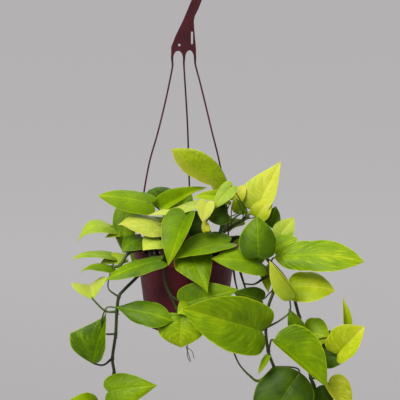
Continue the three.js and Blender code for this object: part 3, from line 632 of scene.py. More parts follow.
# Hanger plastic: the same burgundy, glossier and faintly clouded, with fine paler scuffs.
hanger_plastic, tree, shader, where = material("burgundy_moulding")
tone = ramp(tree, noise(tree, where, 30, 3), [(0.3, "#3a1118"), (0.55, "#481820"), (0.8, "#571e28")])
scuffs = times(tree, between(tree, noise(tree, where, 1.6, 6, 0.7), 0.6, 0.8), 0.15)
fed(tree, shader, {
    "Base Color": mixed(tree, scuffs, tone, linear("#7d4a54")),
    "Roughness": between(tree, noise(tree, where, 5, 3), 0.3, 0.7, 0.34, 0.48),
    "Specular IOR Level": 0.3,
    "Normal": bump(tree, noise(tree, where, 0.9, 2), 0.04),
})

middle = (HOOK_INSIDE + HOOK_OUTSIDE) / 2
tip = arc((0, HOOK_CENTRE), middle, HOOK_TO, HOOK_TO, 1)[0]
outline = [HEAD_LEFT[-1]]
for arch in ARCHES:
    outline += [arch[0], *bowed(*arch[:3]), *bowed(*arch[2:])]
outline += HEAD_RIGHT
outline += arc((0, HOOK_CENTRE), HOOK_OUTSIDE, HOOK_FROM, HOOK_TO, 72)
outline += arc(tip, middle - HOOK_INSIDE, HOOK_TO, HOOK_TO + 180, 14)[1:-1]
outline += arc((0, HOOK_CENTRE), HOOK_INSIDE, HOOK_TO, HOOK_FROM, 60)
outline += HEAD_LEFT[:-1]
x, z, width, length = SLOT
slot = arc((x, z + length / 2 - width / 2), width / 2, 0, 180, 10)
slot += arc((x, z - length / 2 + width / 2), width / 2, 180, 360, 10)
parts = [plate([outline, arc(EYE[:2], EYE[2], 360, 15, 24), slot], PLATE, PLATE_BEVEL)]
for turn in STRAND_TURNS:
    points, faces = plate([BARB], BARB_DEPTH, BARB_BEVEL)
    facing_out = np.stack([STRAND_CIRCLE - points[:, 1], points[:, 0], points[:, 2]], 1)
    parts.append((spun(facing_out, turn), faces))
parts = [(placed(points), faces) for points, faces in parts]

lines = []
for route, turn in zip(STRANDS, STRAND_TURNS):
    foot = spun([(STRAND_CIRCLE, 0, height) for height in FOOT_HEIGHTS], turn)
    line = through([*route, *foot], 8)
    neck = np.clip((line[:, 2] - NECK["from"]) / NECK["length"], 0, 1)
    lines.append((line, STRAND_RADIUS + NECK["swell"] * neck ** 2, 0))
swept = sweeping()
parts.append(arrays_of(grown(wires(lines), swept, **STRAND_SWEEP, Material=hanger_plastic)))
hanger = shown("hanger_moulding", meshed("hanger_moulding", *joined(parts), hanger_plastic))
stands_for(hanger, "hanger")

# Plant
# Neon pothos: leafy vines and shoots, each one stem with its stalks and heart-shaped leaves, as they grow out
# of the mix and over the rim. Each is one piece, swept and drawn from its row of the table.
#
# Every leafy stem: the joints that its stem runs through, any bare roots, and its leaves. A leaf is the joint
# that its stalk leaves, the notch of its blade, its tip, the side that faces up, its width, how far its left
# and right halves lift in degrees, its arch and the curl of its tip as shares of its length, the depth and
# phase of the waves in its edge, how far its tip narrows, and its colour from deep green 0 to yellow 1, which
# on some leaves is set deeper to paint the shade they lie in. Then come any bends of its stalk, and its lobes
# where they aren't 1 for a heart but less, down to 0 for a wedge.
VINES = {
  "upper_left_shoot": {
    "stem": [[-25, -5, -30], [-26, -6, -5], [-28, -8, 20], [-24, -10, 38], [-16, -10, 52]],
    "leaves": [
      [3, [-48, -44, 74], [-122, -54, 88], [0, -0.75, 0.65], 40, [-10, -26], 0.03, 0.04, 1.5, 0.1, -0.5, 0.4],
      [2, [-38, 22, 63], [-53, 62, 73], [-0.1, -0.55, 0.83], 62, [-15, -15], 0.08, 0.1, 2, 0.3, 0, 0.1],
      [4, [-35, -30, 63], [30, -8, 90], [-0.25, -0.7, 0.65], 38, [50, 45], 0.05, 0.03, 1.5, 0.5, 0.3, 0.5],
      [4, [-11, 2, 54], [9, 20, 72], [0.2, -0.8, 0.6], 34, [5, 5], 0.05, 0.05, 1, 0.2, 0, 0.15],
      [4, [15, -44, 73], [-59, -54, 60], [0, -0.25, 0.97], 24, [-5, -5], -0.04, 0.02, 1, 0.7, -0.3, 0.75],
    ],
  },
  "left_shoot": {
    "stem": [[-48, -12, -30], [-50, -14, -5], [-54, -18, 14], [-56, -24, 26], [-52, -34, 30]],
    "leaves": [
      [4, [-36, -52, 43], [-93, -66, 52], [-0.1, -0.5, 0.85], 48, [-10, -15], 0.06, 0.1, 2, 0.4, 0, 0.85],
      [3, [-85, -8, 56], [-89, -24, -6], [-0.2, -0.9, 0.3], 38, [-5, -5], 0.05, 0.05, 1, 0.4, 0, 0.35],
      [4, [-61, -50, 25], [-89, -76, 14], [-0.3, -0.6, 0.75], 42, [-10, -10], 0.06, 0.1, 1.5, 0.3, 0, 0.2],
      [4, [-39, -66, 27], [-59, -86, 17], [-0.2, -0.7, 0.7], 34, [-5, -5], 0.05, 0.05, 1, 0.8, 0, 0.7],
    ],
  },
  "left_short_vine": {
    "stem": [[-54, -26, -30], [-55, -28, -8], [-59, -38, 9], [-64, -50, 9], [-71, -54, 7], [-81, -58, 4],
      [-92, -64, -11], [-102, -68, -13]],
    "leaves": [
      [5, [-103, -28, 34], [-153, -48, 21], [-0.1, -0.2, 0.97], 36, [-20, 0], 0.24, 0.05, 1, 0.6, 0, 0.6,
        [[-94, -46, 16]]],
      [5, [-94, -36, 27], [-114, -42, 24], [-0.2, -0.4, 0.9], 14, [0, 0], 0.05, 0.05, 0.5, 0.2, 0, 0.6],
      [7, [-103, -52, -2], [-159, -68, 3], [0, -0.05, 1], 30, [-5, 10], 0.05, 0.08, 1, 0.1, 0, 0.5],
      [6, [-86, -48, -5], [-122, -60, -10], [-0.2, -0.5, 0.8], 24, [0, 0], 0.08, 0.05, 1, 0.5, 0, 0.7],
    ],
  },
  "left_trailing_vine": {
    "stem": [[-38, -32, -30], [-39, -36, -6], [-44, -48, 10], [-49, -62, 7], [-50, -68, -5],
      [-68, -76, -25], [-86, -86, -41], [-93, -90, -50], [-96, -91, -71], [-98, -90, -104],
      [-103, -89, -140], [-101, -88, -162], [-104, -86, -191], [-101, -84, -222], [-92, -84, -252]],
    "leaves": [
      [7, [-103, -62, -14], [-146, -84, -12], [-0.1, -0.3, 0.95], 34, [-15, -60], 0.14, 0.1, 1.5, 0.5, 0,
        0.35, [[-108, -86, -37]]],
      [8, [-129, -96, -51], [-134, -56, -39], [-0.1, -0.75, 0.65], 60, [38, 38], 0.05, 0.05, 1.5, 0.2, 0,
        0.85, [[-112, -94, -69]], 0],
      [9, [-99, -96, -63], [-18, -118, -74], [0.1, -0.75, 0.65], 36, [-5, -10], 0.05, 0.06, 1.5, 0.5, -0.8,
        0.25, [[-114, -92, -102], [-117, -94, -84], [-110, -96, -64]], -0.8],
      [10, [-131, -98, -145], [-110, -86, -69], [-0.1, -0.9, 0.35], 80, [5, 66], 0.04, 0.02, 1.5, 0.6, 1.2,
        0.2, [[-116, -92, -149]], 0],
      [11, [-109, -104, -184], [-40, -120, -169], [0, -0.9, 0.43], 47, [-5, -5], 0.05, 0.05, 2, 0.8, 0, 0.4],
      [12, [-127, -90, -220], [-171, -110, -200], [0, -0.7, 0.7], 50, [0, 0], 0.05, 0.05, 2, 0.8, 0, 0.5],
      [13, [-96, -86, -215], [-56, -96, -247], [0, -0.9, 0.4], 54, [5, 5], 0.05, 0.05, 2, 0.1, 0, 0.2],
    ],
  },
  "front_shoot": {
    "stem": [[-5, -36, -30], [-6, -38, -6], [-8, -44, 14], [-6, -52, 26], [2, -56, 32]],
    "leaves": [
      [4, [1, -62, 61], [-24, -100, -1], [-0.1, -0.95, 0.3], 56, [62, 0], 0.06, 0.04, 1.5, 0.3, 0, 0.35],
      [3, [6, -74, 8], [31, -116, -36], [0, -0.8, 0.6], 54, [0, 0], 0.06, 0.04, 2, 0.4, 0.5, 0.35],
    ],
  },
  "front_vine": {
    "stem": [[-22, -40, -30], [-23, -44, -6], [-27, -59, 10], [-29, -72, 9], [-30, -77, -12],
      [-27, -80, -35], [-20, -83, -51], [-13, -85, -67], [-8, -85, -91], [0, -84, -122], [7, -84, -146]],
    "leaves": [
      [3, [-35, -88, 2], [-112, -108, -21], [-0.05, -0.35, 0.93], 34, [-15, -5], 0.05, 0.02, 1.5, 0.3, -0.3,
        0.3],
      [6, [-3, -92, -59], [73, -102, -35], [0, -0.93, 0.37], 47, [0, -8], 0.05, 0.05, 2, 0.2, 0, 0.35],
      [7, [-6, -106, -72], [-6, -120, -114], [0, -0.85, 0.5], 55, [0, 0], 0.08, 0.1, 2.5, 0.5, -1.2, 0.45],
      [7, [4, -103, -60], [-11, -112, -67], [0, -0.8, 0.6], 24, [0, 0], 0.05, 0.05, 1, 0.5, 0, 0.6],
    ],
  },
  "centre_right_vine": {
    "stem": [[42, -36, -30], [43, -40, -6], [50, -52, 12], [64, -62, 12], [97, -72, -1], [119, -82, -20],
      [123, -88, -40], [116, -92, -62], [112, -96, -93], [116, -95, -128], [125, -82, -156],
      [136, -84, -189], [148, -88, -223]],
    "roots": [
      [[125, -82, -156], [104, -90, -173], [90, -97, -163], [76, -104, -145], [68, -108, -127]],
      [[64, -62, 12], [72, -66, -6], [80, -71, -30], [88, -80, -56], [92, -84, -76]],
      [[119, -82, -20], [108, -76, -28], [96, -74, -36], [82, -72, -36]],
      [[64, -62, 12], [66, -66, -8], [70, -71, -34], [76, -77, -56]],
    ],
    "leaves": [
      [8, [106, -104, -95], [-4, -134, -54], [0, -0.93, 0.38], 79, [6, 24], 0.03, 0.05, 2.5, 0.1, -0.4, 0.4],
      [4, [106, -80, -4], [37, -100, 9], [0, -0.75, 0.65], 44, [5, -5], 0.04, 0.04, 2, 0.1, -0.2, 0.4],
      [9, [123, -112, -105], [198, -128, -167], [0.05, -0.95, 0.3], 82, [8, 86], 0.04, 0.04, 2.5, 0.4, -0.2,
        0.4, [], 0.5],
      [8, [144, -66, -42], [209, -82, -42], [0, -0.7, 0.7], 46, [0, -5], 0.06, 0.04, 2, 0.4, -0.7, 0.7,
        [[131, -92, -84], [146, -86, -72], [146, -72, -56]], 0.5],
      [10, [161, -98, -157], [103, -122, -242], [-0.1, -0.9, 0.4], 80, [-8, -8], 0.08, 0.04, 2, 0.4, -0.3,
        0.1, [], 0.2],
      [9, [115, -106, -131], [101, -110, -157], [-0.2, -0.9, 0.4], 10, [20, 20], 0.04, 0.04, 0.5, 0.4, 0,
        0.5],
      [4, [101, -94, 8], [99, -74, 63], [0, -0.9, 0.4], 54, [-20, -20], 0.05, 0.03, 2, 0.4, -0.3, 0.2, [],
        0.6],
      [6, [107, -80, -57], [66, -86, -44], [0, -0.9, 0.4], 30, [0, 0], 0.05, 0.03, 1, 0.4, 0, 0.1],
    ],
  },
  "far_right_vine": {
    "stem": [[56, -4, -30], [58, -5, -6], [70, -12, 14], [88, -24, 12], [140, -56, -32], [160, -70, -84],
      [168, -80, -123], [177, -84, -171], [188, -86, -206], [194, -86, -239]],
    "leaves": [
      [5, [161, -80, -107], [145, -73, -72], [-0.2, -0.9, 0.4], 24, [10, 10], 0.05, 0.04, 1, 0.4, 0, 0.3],
      [7, [184, -88, -185], [182, -98, -241], [0.1, -0.9, 0.4], 50, [5, 5], 0.04, 0.04, 2, 0.4, 0, 0.1],
      [7, [201, -92, -176], [233, -104, -223], [0.1, -0.9, 0.4], 50, [5, 70], 0.04, 0.04, 2, 0.4, 0, 0.85],
      [5, [169, -60, -110], [204, -74, -114], [0.1, -0.85, 0.5], 44, [0, 0], 0.05, 0.05, 1.5, 0.4, -0.8, 0.5],
      [6, [213, -90, -133], [249, -100, -90], [0.1, -0.9, 0.4], 52, [5, 60], 0.04, 0.04, 1.5, 0.4, -0.9,
        0.75],
      [6, [225, -76, -104], [222, -70, -57], [0.5, -0.8, 0.3], 21, [45, 45], 0.02, 0.02, 0.5, 0.4, 0, 0.75],
      [6, [192, -68, -134], [241, -78, -132], [0, -0.85, 0.5], 54, [0, 0], 0.06, 0.06, 2, 0.4, -0.2, 0.2],
    ],
  },
  "right_shoot": {
    "stem": [[54, -22, -30], [56, -24, -6], [62, -28, 16], [78, -36, 22], [98, -44, 10], [120, -54, -12],
      [136, -66, -40]],
    "leaves": [
      [5, [124, -62, 0], [248, -90, 4], [0, -0.6, 0.8], 44, [10, -20], 0.06, 0.04, 2.5, 0.4, -1.2, 0.45, [],
        0.1],
      [3, [120, -24, 35], [129, -6, 61], [0.1, -0.8, 0.6], 26, [25, 25], 0.05, 0.03, 0.5, 0.4, 0, 0.2],
      [4, [133, -39, 25], [154, -21, 48], [0.1, -0.8, 0.6], 30, [5, 5], 0.05, 0.03, 1, 0.4, 0, 0.7],
      [4, [126, -50, 10], [158, -50, 25], [0.1, -0.7, 0.7], 32, [0, 0], 0.05, 0.03, 1, 0.4, 0, 0.5],
      [6, [154, -94, -49], [116, -98, 4], [-0.1, -0.95, 0.3], 40, [10, 80], 0.03, 0.03, 1.5, 0.4, 0, 0.75, [],
        0.3],
      [5, [113, -65, -14], [116, -76, -48], [-0.2, -0.9, 0.3], 18, [10, 10], 0.03, 0.03, 0.5, 0.4, 0, 0.5],
    ],
  },
  "upper_right_shoot": {
    "stem": [[38, -14, -30], [40, -16, -4], [48, -24, 20], [64, -32, 36], [80, -38, 47], [90, -42, 54]],
    "leaves": [
      [4, [101, -20, 61], [136, 8, 124], [-0.1, -0.88, 0.45], 62, [10, 52], 0.03, 0.02, 2, 0.4, 0.4, 0.85],
      [4, [100, -40, 54], [123, -30, 78], [0.1, -0.75, 0.65], 28, [0, 0], 0.05, 0.03, 1, 0.4, 0, 0.75],
      [3, [68, -25, 74], [86, -8, 93], [0, -0.8, 0.6], 22, [0, 0], 0.05, 0.03, 1, 0.4, 0, 0.9],
      [4, [82, -50, 61], [70, -48, 82], [0.5, -0.5, 0.7], 13, [0, 0], 0.1, 0.02, 0.5, 0.4, 0, 0.2],
      [4, [65, -66, 103], [37, -74, 71], [-0.2, -0.8, 0.5], 24, [8, 8], 0.05, 0.02, 1, 0.1, 0, 0.6,
        [[86, -52, 64], [78, -60, 79]]],
    ],
  },
  "top_shoot": {
    "stem": [[26, -42, -30], [28, -44, -5], [38, -48, 14], [48, -50, 32], [51, -50, 48], [50, -50, 62]],
    "leaves": [
      [5, [61, -50, 94], [-20, -34, 150], [0.5, -0.3, 0.8], 58, [-75, -85], 0.25, 0.02, 1.5, 0.1, -2.2, 0.55],
      [2, [61, -66, 22], [-16, -92, 8], [0, -0.6, 0.8], 48, [35, -5], 0.05, 0.03, 1.5, 0.6, -0.9, 0.35],
      [4, [60, -57, 82], [10, -61, 87], [0, -0.5, 0.85], 22, [-5, 45], 0.08, 0.05, 1, 0.1, 0, 0.55],
      [4, [30, -77, 83], [24, -84, 55], [-0.2, -0.85, 0.5], 25, [10, 10], 0.04, 0.02, 1, 0.1, 0, 0.9],
      [4, [58, -60, 63], [29, -68, 58], [0, -0.85, 0.5], 29, [0, 0], 0.06, 0.02, 0.5, 0.1, -0.8, 0.05],
      [4, [74, -42, 62], [67, -36, 77], [-0.2, -0.85, 0.5], 14, [5, 5], 0.04, 0.02, 0.5, 0.1, 0, 0.6],
      [3, [29, -78, 42], [26, -72, 58], [0, -0.9, 0.4], 12, [0, 0], 0.04, 0.02, 0.5, 0.1, 0, 0.9],
      [1, [29, -39, 43], [-14, -36, 36], [0, -0.8, 0.6], 42, [0, 0], 0.05, 0.03, 1, 0.3, 0, 0.05],
    ],
  },
  "back_left_shoot": {
    "stem": [[-36, 24, -30], [-39, 30, -2], [-46, 44, 18], [-52, 56, 24]],
    "leaves": [
      [3, [-65, 52, 38], [-104, 80, 17], [-0.4, 0.4, 0.8], 52, [-8, -8], 0.08, 0.06, 2, 0.1, 0, 0.4],
      [3, [-42, 78, 24], [-50, 124, -6], [0, 0.6, 0.8], 56, [-8, -8], 0.08, 0.06, 2, 0.3, 0, 0.5],
      [2, [-70, 30, 30], [-116, 32, 20], [-0.2, 0.1, 0.97], 50, [-8, -8], 0.1, 0.06, 2, 0.6, 0, 0.6],
    ],
  },
  "back_shoot": {
    "stem": [[-6, 38, -30], [-7, 44, 0], [-9, 56, 20], [-10, 66, 28]],
    "leaves": [
      [3, [-8, 86, 32], [-10, 136, 4], [0, 0.55, 0.83], 66, [-8, -8], 0.08, 0.06, 2, 0.7, 0, 0.3],
      [2, [-16, 54, 46], [-42, 38, 62], [0.1, 0.4, 0.9], 44, [10, 10], 0.06, 0.04, 1.5, 0.5, 0, 0.8],
    ],
  },
  "back_right_shoot": {
    "stem": [[44, 18, -30], [48, 24, 0], [56, 34, 18], [66, 44, 26]],
    "leaves": [
      [3, [85, 46, 40], [130, 60, 20], [0.35, 0.3, 0.85], 52, [-8, -8], 0.08, 0.06, 2, 0.8, 0, 0.45],
      [3, [58, 76, 24], [66, 124, -7], [0.15, 0.6, 0.8], 56, [-8, -8], 0.08, 0.06, 2, 0.1, 0, 0.5],
      [2, [28, 84, 42], [52, 118, 30], [0.3, 0.5, 0.8], 50, [5, 5], 0.06, 0.06, 2, 0.2, 0, 0.7],
      [2, [48, 32, 48], [24, 10, 60], [0.1, 0.1, 0.97], 42, [8, 8], 0.06, 0.04, 1.5, 0.3, 0, 0.65],
    ],
  },
  "back_left_vine": {
    "stem": [[-22, 44, -30], [-24, 52, -2], [-30, 72, 10], [-34, 85, -4], [-36, 87, -36], [-30, 86, -68],
      [-26, 84, -100]],
    "leaves": [
      [4, [-54, 98, -22], [-66, 106, -84], [-0.2, 0.95, 0.1], 56, [5, 5], 0.05, 0.06, 2, 0.5, 0, 0.4],
      [5, [-12, 102, -46], [-7, 108, -108], [0.1, 0.95, 0.2], 62, [5, 5], 0.05, 0.06, 2, 0.2, 0, 0.35],
    ],
  },
  "back_right_vine": {
    "stem": [[22, 44, -30], [24, 52, -2], [30, 72, 10], [36, 85, -6], [38, 87, -40], [34, 86, -76],
      [30, 84, -100]],
    "leaves": [
      [4, [54, 98, -16], [62, 106, -76], [0.2, 0.95, 0.1], 60, [5, 5], 0.05, 0.06, 2, 0.4, 0, 0.45],
      [5, [26, 94, -70], [40, 98, -118], [0.1, 0.95, 0.2], 54, [5, 5], 0.05, 0.06, 2, 0.9, 0, 0.5],
    ],
  },
}

# Half of a leaf's edge, from its notch to its tip: along the length, and out to the half width.
EDGE = np.array([
    (0, 0), (-0.07, 0.25), (-0.085, 0.55), (-0.02, 0.85), (0.15, 1),
    (0.35, 0.98), (0.6, 0.72), (0.8, 0.38), (0.93, 0.12), (1, 0),
], float)
BLADE = 0.8  # thickness
CAMBER = 0.03  # swell of each half of a blade, as a share of its width
WEDGE = 0.36  # how far the edge moves along the leaf where it has no lobes
FOLD = 0.05  # half the width over which the fold along the rib is rounded, as a share of the blade's width
CURL_FROM = 0.55  # share of the length from which the tip curls
WAVES = {"coarse": 1.6, "fine": 4.7, "fine height": 0.16}  # waves along an edge, and the finer ones' share
SWELL = {"plain": 0.0022, "puckered": 4.5}  # of the blade between its side veins, as a share of its width
CHANNEL = {"depth": 0.5, "reach": 1.1}  # the groove over the rib
KEEL = {"depth": 0.9, "reach": 0.9}  # the rib below the blade
THIN_EDGE = 0.45  # share of its thickness that the blade loses towards its edge
STEM_RADIUS = 2.4
JOINT = {"between": 0.92, "swell": 0.26, "reach": 2.1}  # shares of the stem's radius, and a length
STALK_RADIUS = 1.4
SHEATH = {"swell": 0.35, "reach": 0.12}  # where a stalk leaves its joint, as shares of radius and length
RIB_PLACES = (0.08, 0.2, 0.42)  # shares of the blade along which the stalk runs on as its rib
ROOT_RADIUS = 2  # bare stems and aerial roots
ROOT_AGE = 0.1  # on the stems' scale, where 1 is the youngest and palest
LOW_ROOT = {"below": -100, "age": 0.6, "loss": 0.4}  # young, pale roots, which darken towards their tips
LARGE_LEAF = 51
LARGE_GRID = (44, 15)  # rows, and columns in each half
SMALL_GRID = (32, 11)
VEINS = 11  # side veins in each half
KNOB = {"below": -8, "length": (3.4, 5.6), "radius": 0.9}  # stubs of roots at joints below this height
THREAD = {"radius": 0.45, "age": 0.1}  # fine roots
STEM_TAPER = 0.05  # share of a stem's length over which its end thins
TAPERS = {"front_vine": 0.42}  # the same, for a stem that ends in a young shoot
STEM_SWEEP = {"Sides": 14, "Step": 0.0011, "Ridge": 0.00022, "Ridge size": 0.0035}
THREADS = {"front_vine": [
    [[-3, -85, -112], [3, -88, -122], [2, -86, -136], [6, -85, -147]],
    [[1, -84, -125], [9, -86, -131], [12, -84, -142]],
]}
# What sets single leaves apart, by their number on the stem. Their pale streaks along the side veins are
# partly the leaf's own marking and partly painted sheen.
MARKS = {
    "upper_left_shoot": {4: {"streaked": 0.5, "pale": 0.75}},
    "left_shoot": {0: {"streaked": 0.5, "aged": 0.25, "pale": 0.4}, 3: {"pale": 0.4}},
    "left_short_vine": {0: {"pale": 0.25}, 2: {"pale": 0.2}, 3: {"pale": 0.3}},
    "left_trailing_vine": {1: {"pale": 0.5}, 3: {"streaked": 0.3}, 4: {"streaked": 0.25}},
    "front_shoot": {1: {"streaked": 0.25}},
    "front_vine": {2: {"puckered": 1, "streaked": 0.5}},
    "centre_right_vine": {0: {"streaked": 0.2}, 2: {"streaked": 0.25}},
    "far_right_vine": {2: {"streaked": 0.8}, 4: {"streaked": 0.3}},
    "right_shoot": {0: {"streaked": 0.45}, 2: {"aged": 0.2, "pale": 0.4}, 4: {"pale": 0.2}},
    "upper_right_shoot": {0: {"streaked": 0.4, "pale": 0.25}, 4: {"pale": 0.35}},
    "top_shoot": {0: {"aged": 0.55}, 3: {"pale": 0.4}},
}


def edge_at(along):
    """The edge's place at shares of its course from notch to tip."""
    last = len(EDGE) - 1
    share = np.clip(along, 0, 1) * last
    i = np.minimum(share.astype(int), last - 1)
    near = [EDGE[np.clip(i + step, 0, last)] for step in (-1, 0, 1, 2)]
    return rounded(*near, (share - i)[:, None])


class Leaf:
    """A leaf's row in the table and its marks, with its own frame."""

    def __init__(self, row, marks):
        (self.joint, base, tip, side, self.width, self.lift, self.arch, self.curl, self.wave, self.phase,
         self.slim, self.tone) = row[:12]
        self.bends = row[12] if len(row) > 12 else []
        self.lobes = row[13] if len(row) > 13 else 1
        self.puckered, self.streaked, self.aged, self.pale = (
            marks.get(kind, 0) for kind in ("puckered", "streaked", "aged", "pale"))
        self.base, tip, side = (np.array(one, float) for one in (base, tip, side))
        self.length = np.linalg.norm(tip - self.base)
        self.forward = (tip - self.base) / self.length
        self.up = side - (side @ self.forward) * self.forward
        self.up /= np.linalg.norm(self.up)
        self.left = np.cross(self.up, self.forward)

    def surface(self, along, across, fine=0.0):
        """Points of its middle surface, along from notch to tip and across from edge to edge, with the fine
        relief as a share: small waves in the edge, and the swell of the blade between its side veins."""
        edge = edge_at(along)
        out, side = np.abs(across), np.sign(across)
        rib = along ** 1.6
        wedge = WEDGE * (1 - self.lobes) * np.sin(math.pi * along) * (1 - along)
        x = rib + out * (edge[:, 0] + wedge - rib)
        taper = np.clip((along - 0.5) / 0.4, 0, 1)
        y = self.width / 2 * edge[:, 1] * (1 - self.slim * taper) * out
        soft = FOLD * self.width
        reach = np.hypot(y, soft) - soft
        angle = np.radians(np.where(across > 0, self.lift[0], self.lift[1]))
        flat = y - reach + reach * np.cos(angle)
        fade = np.minimum(1, 5.2 * along * (1 - along))
        ripple = np.sin(2 * math.pi * (WAVES["coarse"] * along + self.phase + 0.3 * side))
        small = np.sin(2 * math.pi * (WAVES["fine"] * along + 2.3 * self.phase + 0.37 * side))
        height = (reach * np.sin(angle) + self.arch * self.length * 4 * x * (1 - x)
                  + CAMBER * self.width * edge[:, 1] * np.sin(math.pi * out)
                  - self.curl * self.length * np.maximum(0, (x - CURL_FROM) / (1 - CURL_FROM)) ** 2
                  + self.wave * out ** 3 * ripple * fade
                  + fine * WAVES["fine height"] * self.wave * out ** 5 * small * fade
                  + fine * self.swell(along, out) * fade)
        return (self.base + np.outer(x * self.length, self.forward) + np.outer(side * flat, self.left)
                + np.outer(height, self.up))

    def vein(self, along, out):
        """Counts the side veins: a whole number on each, as they leave the rib and arch towards the tip."""
        return VEINS * (along - 0.34 * out ** 1.35 * (1 - 0.45 * along))

    def swell(self, along, out):
        """How far the blade stands up between its side veins, in millimetres."""
        size = SWELL["plain"] * self.width * (1 + SWELL["puckered"] * self.puckered)
        return size * (np.sin(math.pi * self.vein(along, out)) ** 2 - 0.5) * np.sin(math.pi * out ** 0.7)


def vertex_normals(points, faces):
    """Smooth normals of a sheet."""
    normals = np.zeros_like(points)
    for face in faces:
        a, b, c = points[face[0]], points[face[1]], points[face[-1]]
        normals[list(face)] += np.cross(b - a, c - a)
    return normals / np.linalg.norm(normals, axis=1)[:, None]


def blade(leaf):
    """A leaf blade as a closed sheet with a soft edge: a channel over the rib above, the rib's keel below.
    Returns its points, its faces, and three values at each point for its place (veins counted, distance
    from the rib, share out to the edge), its look (tone, streaks that are partly painted sheen, underside)
    and its wear (age, paleness)."""
    rows, half = LARGE_GRID if leaf.width >= LARGE_LEAF else SMALL_GRID
    columns = np.linspace(-1, 1, 2 * half + 1)
    columns = np.sign(columns) * np.abs(columns) ** 0.85
    across = [0.0, *np.tile(columns, rows - 1), 0.0]
    along = [0.0, *np.repeat(np.arange(1, rows) / rows, len(columns)), 1.0]
    along, across = np.array(along), np.array(across)
    sheet = leaf.surface(along, across, fine=1.0)
    width = len(columns)
    tip = len(sheet) - 1

    def spot(row, column):
        """The number of a point. The first and last rows have one each."""
        return 0 if row == 0 else tip if row == rows else 1 + (row - 1) * width + column

    faces = []
    for row in range(rows):
        for column in range(width - 1):
            near, far = [[spot(one, column), spot(one, column + 1)] for one in (row, row + 1)]
            faces.append(tuple(dict.fromkeys((near[0], *far, near[1]))))
    normals = vertex_normals(sheet, faces)
    out = np.abs(across)
    away = leaf.width / 2 * edge_at(along)[:, 1] * out
    strong = np.clip(1.15 - along, 0, 1) * np.clip(leaf.width / 50, 0.4, 1.2)
    thick = BLADE / 2 * (1 - THIN_EDGE * out ** 8)
    channel, keel = (rib["depth"] * strong * np.exp(-(away / rib["reach"]) ** 2) for rib in (CHANNEL, KEEL))
    upper = sheet + normals * (thick - channel)[:, None]
    lower = sheet - normals * (thick + keel)[:, None]
    rim = ([0] + [spot(row, 0) for row in range(1, rows)] + [tip]
           + [spot(row, width - 1) for row in range(rows - 1, 0, -1)])
    count = len(sheet)
    under = [tuple(i + count for i in reversed(face)) for face in faces]
    edge = [(a, a + count, b + count, b) for a, b in zip(rim, rim[1:] + rim[:1])]
    place = np.stack([leaf.vein(along, out), away, out], 1)
    look = np.stack([np.full(count, leaf.tone), leaf.streaked * np.sign(across), np.zeros(count)], 1)
    wear = np.tile((leaf.aged, leaf.pale, 0), (2 * count, 1))
    return (np.concatenate([upper, lower]), faces + under + edge, np.concatenate([place, place]),
            np.concatenate([look, look + (0, 0, 1)]), wear)


def stalk_line(leaf, start):
    """A leaf's stalk with its radii: out of its sheath at the joint, through its bends, and on as the rib."""
    far = np.linalg.norm(leaf.base - start)
    if leaf.bends:
        middle = [np.array(one, float) for one in leaf.bends]
    else:
        first = start + 0.35 * (leaf.base - start) + (0, 0, 0.12 * far)
        second = leaf.base - 0.2 * far * leaf.forward - 0.22 * far * leaf.up
        middle = [(1 - t) ** 3 * start + 3 * t * (1 - t) ** 2 * first + 3 * t * t * (1 - t) * second
                  + t ** 3 * leaf.base for t in (1 / 3, 2 / 3)]
    under = [leaf.surface(np.array([t]), np.zeros(1))[0] - KEEL["depth"] * leaf.up for t in RIB_PLACES]
    line = through([start, *middle, *under], 9)
    share = np.linspace(0, 1, len(line))
    slender = np.clip((leaf.width + 20) / 70, 0.6, 1.05)
    sheath = SHEATH["swell"] * np.exp(-(share / SHEATH["reach"]) ** 2)
    radii = STALK_RADIUS * slender * (1 + sheath - 0.12 * np.sin(math.pi * share))
    radii *= np.clip((1.04 - share) / 0.3, 0.15, 1)
    age = np.clip(0.12 + 0.3 * leaf.tone + 0.45 * share ** 1.5, 0, 1)
    return line, radii, age


def stem_line(stem, leaves, taper):
    """A stem with its radii: swollen at each joint, thinner between, and tapered over a share of its end."""
    line = through(stem, 14)
    radii = np.full(len(line), STEM_RADIUS * JOINT["between"])
    for leaf in leaves:
        away = np.linalg.norm(line - stem[leaf.joint], axis=1)
        swell = JOINT["swell"] * np.exp(-(away / JOINT["reach"]) ** 2)
        radii = np.maximum(radii, STEM_RADIUS * (JOINT["between"] + swell))
    share = np.linspace(0, 1, len(line))
    radii *= np.clip((1.015 - share) / taper, 0.25, 1)
    return line, radii, 0.5 * share ** 1.5


def knobs(stem, leaves, random):
    """Stubs of aerial roots: one or two dark knobs at each joint that hangs below the rim."""
    out = []
    for joint in sorted({leaf.joint for leaf in leaves if stem[leaf.joint][2] < KNOB["below"]}):
        for _ in range(random.integers(1, 3)):
            start = stem[joint] + random.uniform(-2, 2, 3) * (0, 0, 1)
            way = random.normal(size=3) * (1, 0.6, 0.25) + (0, -0.5, -0.2)
            tip = start + way / np.linalg.norm(way) * random.uniform(*KNOB["length"])
            radii = KNOB["radius"] * np.array([1, 0.85, 0.5])
            out.append((np.array([start, (start + tip) / 2, tip]), radii, 0))
    return out


